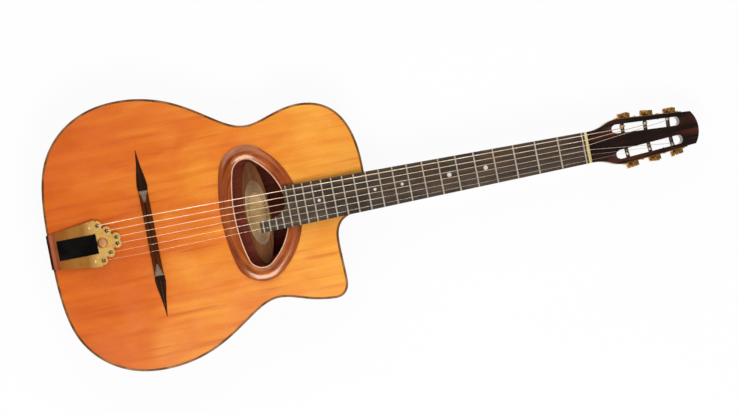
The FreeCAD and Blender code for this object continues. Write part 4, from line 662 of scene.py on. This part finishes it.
def old_bone():
    material, tree, shader, place = new_finish("nut_bone", coat_weight=0.2, coat_roughness=0.2,
                                               subsurface_weight=0.05)
    wood = use(tree, fibres, place, fibre_size=(0.0006, 0.02, 0.0006),
               band_size=(0.003, 0.03, 0.003), cloud_size=(0.01, 0.01, 0.01))
    colour = ramp(tree, wood["Height"], [(0.1, "b89c5c"), (0.5, "dcc583"), (0.9, "efdda6")])
    dress(tree, shader, colour, wood["Clouds"], 0.3, 0.5)
    relief(tree, shader, wood["Fibres"], 0.00003, 0.4, 0.0005)
    return material


# %% [markdown]
# ## The woods of this guitar
# Each call is one wood. A polished one gives its three colours from dark to pale and then
# the sizes of a fibre, a band and a pore. A bare one gives two colours, the sizes of a fibre
# and a band, and the colour and the share of its dust. A size is written along the guitar,
# across it and up, so the long number shows which way the grain runs. A gloss that should
# pick up the warmth of the wood under it, as old shellac does, has a warm tint.

# %% Woods
WARM_GLOSS = (1.0, 0.74, 0.5, 1.0)

woods = [
    amber_top(),
    polished_wood("body_varnish", "2a120b", "532513", "7f3d1f", (0.2, 0.2, 0.0013),
                  (0.3, 0.3, 0.009), (0.006, 0.006, 0.0005), coat_weight=0.8,
                  coat_roughness=0.06),
    polished_wood("neck_varnish", "20100b", "42200f", "62311b", (0.15, 0.0014, 0.0014),
                  (0.3, 0.008, 0.008), (0.005, 0.0006, 0.0006), coat_weight=0.6,
                  coat_roughness=0.08),
    polished_wood("head_veneer", "100805", "20100a", "5a2814", (0.12, 0.0012, 0.05),
                  (0.1, 0.01, 0.05), (0.004, 0.0005, 0.002), shine=(0.14, 0.3), edge=0.0008,
                  specular_ior_level=0.3, coat_weight=0.45, coat_roughness=0.06),
    polished_wood("ring_varnish", "5e1f08", "96400f", "bb5e1c", (0.05, 0.0011, 0.03),
                  (0.09, 0.005, 0.03), (0.003, 0.0005, 0.002), pore_amount=0.2, clouds=0.03,
                  path=round_the_hole, shine=(0.17, 0.27), specular_ior_level=1.0,
                  specular_tint=WARM_GLOSS, coat_weight=0.3, coat_roughness=0.12),
    polished_wood("bridge_wood", "0c0403", "200905", "42150a", (0.0008, 0.05, 0.01),
                  (0.004, 0.08, 0.02), (0.0005, 0.004, 0.001), pore_amount=0.3, clouds=0.02,
                  shine=(0.2, 0.3), edge=0.0009, specular_ior_level=0.4,
                  specular_tint=WARM_GLOSS),
    polished_wood("fingerboard_wood", "251c16", "413429", "584534", (0.05, 0.0008, 0.02),
                  (0.12, 0.005, 0.02), (0.003, 0.00035, 0.001), pore_amount=0.5, clouds=0.03,
                  shine=(0.3, 0.5), specular_ior_level=0.22),
    bare_wood("resonator_wood", "551405", "862c0e", (0.08, 0.0015, 0.0015),
              (0.15, 0.009, 0.009), "8a5f3e", 0.2),
    bare_wood("reflector_wood", "5e2f12", "8d5429", (0.0015, 0.08, 0.0015),
              (0.009, 0.15, 0.009), "94704c", 0.25),
    bare_wood("inner_wood", "b98d5c", "dcb782", (0.1, 0.0012, 0.0012), (0.2, 0.008, 0.008),
              "a8977f", 0.4)]
print("woods:", len(woods))

# %% [markdown]
# ## The strips, the small parts and the metals
# A strip has a deep and a light colour, and a metal a bright, a dull and a deep one. The
# tailpiece also gets its changes of colour: each fade has the two places along the guitar
# between which a new colour takes over, and each spot a middle, a radius and a colour. The
# last fade is painted shade, nearly black where the plate bends over the edge. The spots
# are the boss, with its paler middle, and painted highlights on the heads of the two rivets.

# %% Strips, small parts and metals
BOSS = (-0.0744, 0.0, 0.0)
# the last fade, nearly black over the edge, is painted shade where the plate bends
TAIL_FADES_AND_SHADE = ((-0.084, -0.1, "ad7434"), (-0.118, -0.136, "a3602a"),
              (-0.138, -0.1435, "94502a"), (-0.1445, -0.1462, "b8644a"),
              (-0.1498, -0.151, "2e150c"))
# the boss spots are its own copper colour; the two bright rivet spots are painted highlights
TAIL_SPOTS_AND_GLINTS = ((BOSS, 0.0078, "b4703c"), (BOSS, 0.005, "c99468"),
              ((-0.0897, 0.0244, 0.0), 0.0018, "ffe2ac"),
              ((-0.0897, -0.0244, 0.0), 0.0018, "ffe2ac"))

small_parts = [
    binding_strip("dark_binding", "633a18", "a06c3a", shine=(0.14, 0.3), edge=0.0012,
                  specular_ior_level=0.35),
    binding_strip("pale_binding", "d39c7c", "ecbd9c", coat_weight=0.1),
    binding_strip("insert_black", "080606", "110f0d", shine=(0.08, 0.18), edge=0.0006,
                  specular_ior_level=0.3),
    aged_label(), shell_pearl(), old_bone(), wound_wire()]
metals = [
    worn_metal("plain_string", "fff0dc", "f2d8ba", "9a7458", shine=(0.3, 0.44), patch=0.05,
               brush=(0.0002, 0.02, 0.02)),
    worn_metal("fret_metal", "fff4e2", "d8c9b2", "756a5b", shine=(0.3, 0.44), patch=0.01,
               brush=(0.0002, 0.01, 0.0002)),
    worn_metal("bar_metal", "b9b9b7", "8b8a86", "4b4845"),
    worn_metal("tailpiece_brass", "e8bc6c", "cc9d52", "80502a", shine=(0.38, 0.52),
               patch=0.02, edge=0.0011, fades_and_shade=TAIL_FADES_AND_SHADE, spots_and_glints=TAIL_SPOTS_AND_GLINTS),
    worn_metal("screw_brass", "ffe9b8", "dcb06c", "6c4a22", patch=0.004, speck=0.0006,
               edge=0.0003),
    worn_metal("tuner_brass", "dfae62", "a87337", "4d2a12", patch=0.007, edge=0.0004),
    worn_metal("button_metal", "eab56c", "b47436", "562d13", patch=0.008, edge=0.0008),
    worn_metal("roller_steel", "77716b", "4b4641", "231f1c", patch=0.006)]
print("small parts:", len(small_parts), "metals:", len(metals))

# %% [markdown]
# ## Handing the finishes to the solids
# Each solid of the model names the finish it takes, by the name of the plain material it
# came with. The loop puts the finish of that name in its place. Blender adds a number to a
# name that is already taken, so a helper reads the name without it.

# %% One finish for every name
def plain_name(material):
    return material.name.split(".")[0]


finishes = {plain_name(finish): finish for finish in woods + small_parts + metals}
unmet = set()
for node in frame["nodes"].values():
    for slot in node.material_slots:
        wanted = plain_name(slot.material)
        if wanted in finishes:
            slot.material = finishes[wanted]
        else:
            unmet.add(wanted)
print("finishes:", len(finishes), "unmet:", sorted(unmet))

# %% [markdown]
# ## Geometry Nodes for what repeats
# A tree is built once with named inputs for its sizes, is fed a simple mesh or nothing at
# all, and ends by realizing its instances and setting the material. A modifier's input
# goes by the socket's identifier, so a helper looks that up from the name. The finished
# shape is turned into a plain mesh and the modifier goes, so that what is left is an
# ordinary piece.

# %% Helpers for Geometry Nodes
def new_tree(name, inputs):
    tree = bpy.data.node_groups.new(name, "GeometryNodeTree")
    tree.is_modifier = True
    name_inputs(tree, [("Geometry", "Geometry", None), *inputs, ("Material", "Material", None)])
    tree.interface.new_socket(name="Geometry", in_out="OUTPUT",
                              socket_type="NodeSocketGeometry")
    return tree, tree.nodes.new("NodeGroupInput").outputs


def close_tree(tree, shape, given):
    real = add(tree, "GeometryNodeRealizeInstances", {0: shape})
    painted = add(tree, "GeometryNodeSetMaterial", {"Geometry": real.outputs[0],
                                                    "Material": given["Material"]})
    add(tree, "NodeGroupOutput", {0: painted.outputs[0]})


def grow(name, tree, base_mesh, values):
    piece = bpy.data.objects.new(name, base_mesh)
    bpy.context.scene.collection.objects.link(piece)
    modifier = piece.modifiers.new(name, "NODES")
    modifier.node_group = tree
    identifiers = {socket.name: socket.identifier for socket in tree.interface.items_tree
                   if socket.in_out == "INPUT"}
    for label, value in values.items():
        modifier[identifiers[label]] = value
    bpy.context.view_layer.update()
    made = bpy.data.meshes.new_from_object(
        piece.evaluated_get(bpy.context.evaluated_depsgraph_get()))
    piece.modifiers.clear()
    piece.data = made
    made.name = name
    for face in made.polygons:
        face.use_smooth = True
    print(name, len(made.polygons), "faces")
    return piece


# %% [markdown]
# ## Fret wire
# A fret is a bead of nickel silver wire pressed across the board: round on top, with its
# ends dressed down so that they don't catch the hand. The solid model has the right places
# and lengths, so each fret's line is read from it, and a tree runs a crowned profile along
# the line and lets it shrink over the last millimetre at each end, as the edge of a ball
# does. It keeps a fifth of its size at the very end, so that the cap isn't a point.

# %% Read the fret lines
CROWN_RISE = 0.0011
CROWN_WIDTH = 0.0024
FRET_APART = 0.004

corners = sorted(tuple(v.co) for v in frame["nodes"]["frets"].data.vertices)
fret_groups = [[corners[0]]]
for corner in corners[1:]:
    if corner[0] - fret_groups[-1][-1][0] > FRET_APART:
        fret_groups.append([])
    fret_groups[-1].append(corner)
fret_points, fret_edges = [], []
for group in fret_groups:
    across = [corner[1] for corner in group]
    x = (group[0][0] + group[-1][0]) / 2
    z = max(corner[2] for corner in group) - CROWN_RISE
    fret_edges.append((len(fret_points), len(fret_points) + 1))
    fret_points += [(x, min(across), z), (x, max(across), z)]
fret_lines = bpy.data.meshes.new("fret_lines")
fret_lines.from_pydata(fret_points, fret_edges, [])
print("frets:", len(fret_groups))

# %% [markdown]
# ## One crowned wire for every line
# A curve's radius scales the profile that is swept along it. So the shrinking end is a
# radius worked out from the distance to the nearer end of the line.

# %% The fret tree and the frets
DRESSED_LENGTH = 0.0012
END_LOST = 0.96

fret_tree, given = new_tree(
    "crowned_wire",
    [("Crown Width", "Float", CROWN_WIDTH), ("Crown Rise", "Float", CROWN_RISE),
     ("Dressed Length", "Float", DRESSED_LENGTH)])
line = add(fret_tree, "GeometryNodeMeshToCurve", {0: given["Geometry"]})
line = add(fret_tree, "GeometryNodeResampleCurve", {"Curve": line.outputs[0], "Count": 90})
line = add(fret_tree, "GeometryNodeSetCurveNormal", {"Curve": line.outputs[0]}, mode="Z_UP")
along = add(fret_tree, "GeometryNodeSplineParameter").outputs["Length"]
whole = add(fret_tree, "GeometryNodeSplineLength").outputs["Length"]
from_end = math_of(fret_tree, "MINIMUM", along, math_of(fret_tree, "SUBTRACT", whole, along))
dressed = math_of(fret_tree, "DIVIDE", from_end, given["Dressed Length"], clamp=True)
left_over = math_of(fret_tree, "SUBTRACT", 1.0, dressed)
lost = share_of(fret_tree, left_over, share_of(fret_tree, left_over, END_LOST))
round_end = math_of(fret_tree, "SQRT", math_of(fret_tree, "SUBTRACT", 1.0, lost))
line = add(fret_tree, "GeometryNodeSetCurveRadius", {"Curve": line.outputs[0],
                                                     "Radius": round_end})
circle = add(fret_tree, "GeometryNodeCurvePrimitiveCircle", {"Resolution": 16, "Radius": 1.0})
crown_size = add(fret_tree, "ShaderNodeCombineXYZ",
                 {"X": share_of(fret_tree, given["Crown Width"], 0.5),
                  "Y": given["Crown Rise"], "Z": 1.0})
crown = add(fret_tree, "GeometryNodeTransform",
            {"Geometry": circle.outputs[0], "Scale": crown_size.outputs[0]})
wire = add(fret_tree, "GeometryNodeCurveToMesh",
           {"Curve": line.outputs[0], "Profile Curve": crown.outputs[0], "Fill Caps": True})
close_tree(fret_tree, wire.outputs[0], given)
fret_wires = grow("fret_wires", fret_tree, fret_lines, {"Material": finishes["fret_metal"]})
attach(fret_wires, "guitar")
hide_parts("frets")

# %% [markdown]
# ## String turns on the rollers
# A string isn't tied to its roller: it is wound round it a few times and holds by its own
# grip. The solids end where each string touches its roller, so the turns are grown here,
# one coil for each roller, beside the string that feeds it. Where the string arrives and
# how thick it is are read from its solid: the corners that lie near a roller's axis.

# %% Read where the strings arrive
ROLLER_RADIUS = 0.003
NEAR_ROLLER = ROLLER_RADIUS * 1.5
SIDE_ROOM = 0.03
STEP_ASIDE = 0.6

string_corners = [(v.co.copy(), name) for name in ("wound_strings", "plain_strings")
                  for v in frame["nodes"][name].data.vertices]
arrivals = {}
for joint in frame["joints"]:
    if not joint["name"].startswith("roller_"):
        continue
    middle, axis = Vector(joint["pos_m"]), Vector(joint["axis"]).normalized()
    near = []
    for corner, name in string_corners:
        out = (corner - middle).dot(axis)
        reach = corner - middle - axis * out
        if abs(out) < SIDE_ROOM and reach.length < NEAR_ROLLER:
            near.append((out, reach, name))
    outs = [out for out, reach, name in near]
    width = max(outs) - min(outs)
    reach = sum((reach for out, reach, name in near), Vector()) / len(near)
    start = middle + axis * (max(outs) + width * STEP_ASIDE)
    arrivals[joint["name"].replace("_turn", "")] = (start, axis, reach, width, near[0][2])
    print(joint["name"], "string", round(width * 1000, 2), "mm")

# %% [markdown]
# ## One coil for every roller
# Every coil covers about the same stretch of roller, so a thin string makes more turns. A
# spiral between two equal radii is a helix, and a little play between its turns and over
# the core keeps them from cutting into each other.

# %% The coil tree and the coils
WOUND_STRETCH = 0.0026
CORE_PLAY = 1.04
TURN_PLAY = 1.05

coil_tree, given = new_tree(
    "string_coil",
    [("Turns", "Float", 3.0), ("Wire Width", "Float", 0.001),
     ("Core Radius", "Float", ROLLER_RADIUS), ("Place", "Vector", None),
     ("Lie", "Rotation", None), ("Clockwise", "Bool", False)])
wire_radius = share_of(coil_tree, given["Wire Width"], 0.5)
coil_radius = math_of(coil_tree, "ADD", given["Core Radius"],
                      share_of(coil_tree, wire_radius, CORE_PLAY))
pitch = share_of(coil_tree, given["Wire Width"], TURN_PLAY)
helix = add(coil_tree, "GeometryNodeCurveSpiral",
            {"Resolution": 20, "Rotations": given["Turns"], "Reverse": given["Clockwise"],
             "Start Radius": coil_radius, "End Radius": coil_radius,
             "Height": share_of(coil_tree, given["Turns"], pitch)})
profile = add(coil_tree, "GeometryNodeCurvePrimitiveCircle", {"Resolution": 8,
                                                              "Radius": wire_radius})
skin = add(coil_tree, "GeometryNodeCurveToMesh",
           {"Curve": helix.outputs[0], "Profile Curve": profile.outputs[0], "Fill Caps": True})
laid = add(coil_tree, "GeometryNodeTransform",
           {"Geometry": skin.outputs[0], "Translation": given["Place"],
            "Rotation": given["Lie"]})
close_tree(coil_tree, laid.outputs[0], given)
for roller, (start, axis, reach, width, kind) in arrivals.items():
    top = reach.normalized()
    forward = axis.cross(top)
    lie = Matrix((top, forward, axis)).transposed().to_euler()
    slot_name = "wound_string" if kind == "wound_strings" else "plain_string"
    coil = grow(roller.replace("roller", "string_coil"), coil_tree,
                bpy.data.meshes.new("empty"),
                {"Turns": WOUND_STRETCH / width, "Wire Width": width, "Place": start,
                 "Lie": lie, "Clockwise": forward.x < 0, "Material": finishes[slot_name]})
    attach(coil, roller)

# %% [markdown]
# ## Washers round the eyelets
# Each string leaves the tailpiece through an eyelet, and a soft black washer lines the
# eyelet so that the plate doesn't cut the string. They are six equal rings, so one tree
# makes a ring and sets a copy on every point it is fed. The points come from the strings:
# the ball at the end of each hangs straight under its eyelet, square to the sloping tray,
# and the eyelet's rim lies a known height above it.

# %% Read the eyelets
STRING_COUNT = 6
TAIL_TILT = Matrix.Rotation(math.radians(3.6), 3, "Y")
TAIL_REACH = -0.05
BALL_LENGTH = 0.0034
BALL_ROOM = BALL_LENGTH * 1.2
RIM_OVER_BALL = 0.00485

tail_corners = [corner for corner, name in string_corners if corner.x < TAIL_REACH]
bottoms = []
for corner in sorted(tail_corners, key=lambda corner: corner.z):
    if all(abs(corner.y - other.y) > BALL_ROOM for other in bottoms):
        bottoms.append(corner)
    if len(bottoms) == STRING_COUNT:
        break
eyelets = []
for bottom in bottoms:
    ball = [c for c in tail_corners if abs(c.y - bottom.y) < BALL_ROOM
            and c.z < bottom.z + BALL_LENGTH]
    low, high = (Vector([pick(c[i] for c in ball) for i in range(3)]) for pick in (min, max))
    eyelets.append((low + high) / 2 + TAIL_TILT @ Vector((0, 0, RIM_OVER_BALL)))
    print("eyelet", tuple(round(c * 1000, 1) for c in eyelets[-1]))
eyelet_points = bpy.data.meshes.new("eyelet_points")
eyelet_points.from_pydata(eyelets, [], [])

# %% [markdown]
# ## A ring on every point
# Each copy is turned by the slope of the tray. The ring is a circle swept along a circle,
# which closes on itself and needs no caps.

# %% The washer tree and the washers
WASHER_RADIUS = 0.0021
WASHER_WIRE = 0.0007

washer_tree, given = new_tree(
    "eyelet_washers",
    [("Ring Radius", "Float", WASHER_RADIUS), ("Wire Radius", "Float", WASHER_WIRE),
     ("Lie", "Rotation", None)])
middle_line = add(washer_tree, "GeometryNodeCurvePrimitiveCircle",
                  {"Resolution": 40, "Radius": given["Ring Radius"]})
profile = add(washer_tree, "GeometryNodeCurvePrimitiveCircle",
              {"Resolution": 8, "Radius": given["Wire Radius"]})
ring = add(washer_tree, "GeometryNodeCurveToMesh",
           {"Curve": middle_line.outputs[0], "Profile Curve": profile.outputs[0]})
points = add(washer_tree, "GeometryNodeMeshToPoints", {"Mesh": given["Geometry"]})
copies = add(washer_tree, "GeometryNodeInstanceOnPoints",
             {"Points": points.outputs[0], "Instance": ring.outputs[0],
              "Rotation": given["Lie"]})
close_tree(washer_tree, copies.outputs[0], given)
washers = grow("eyelet_washers", washer_tree, eyelet_points,
               {"Lie": TAIL_TILT.to_euler(), "Material": finishes["insert_black"]})
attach(washers, "guitar")
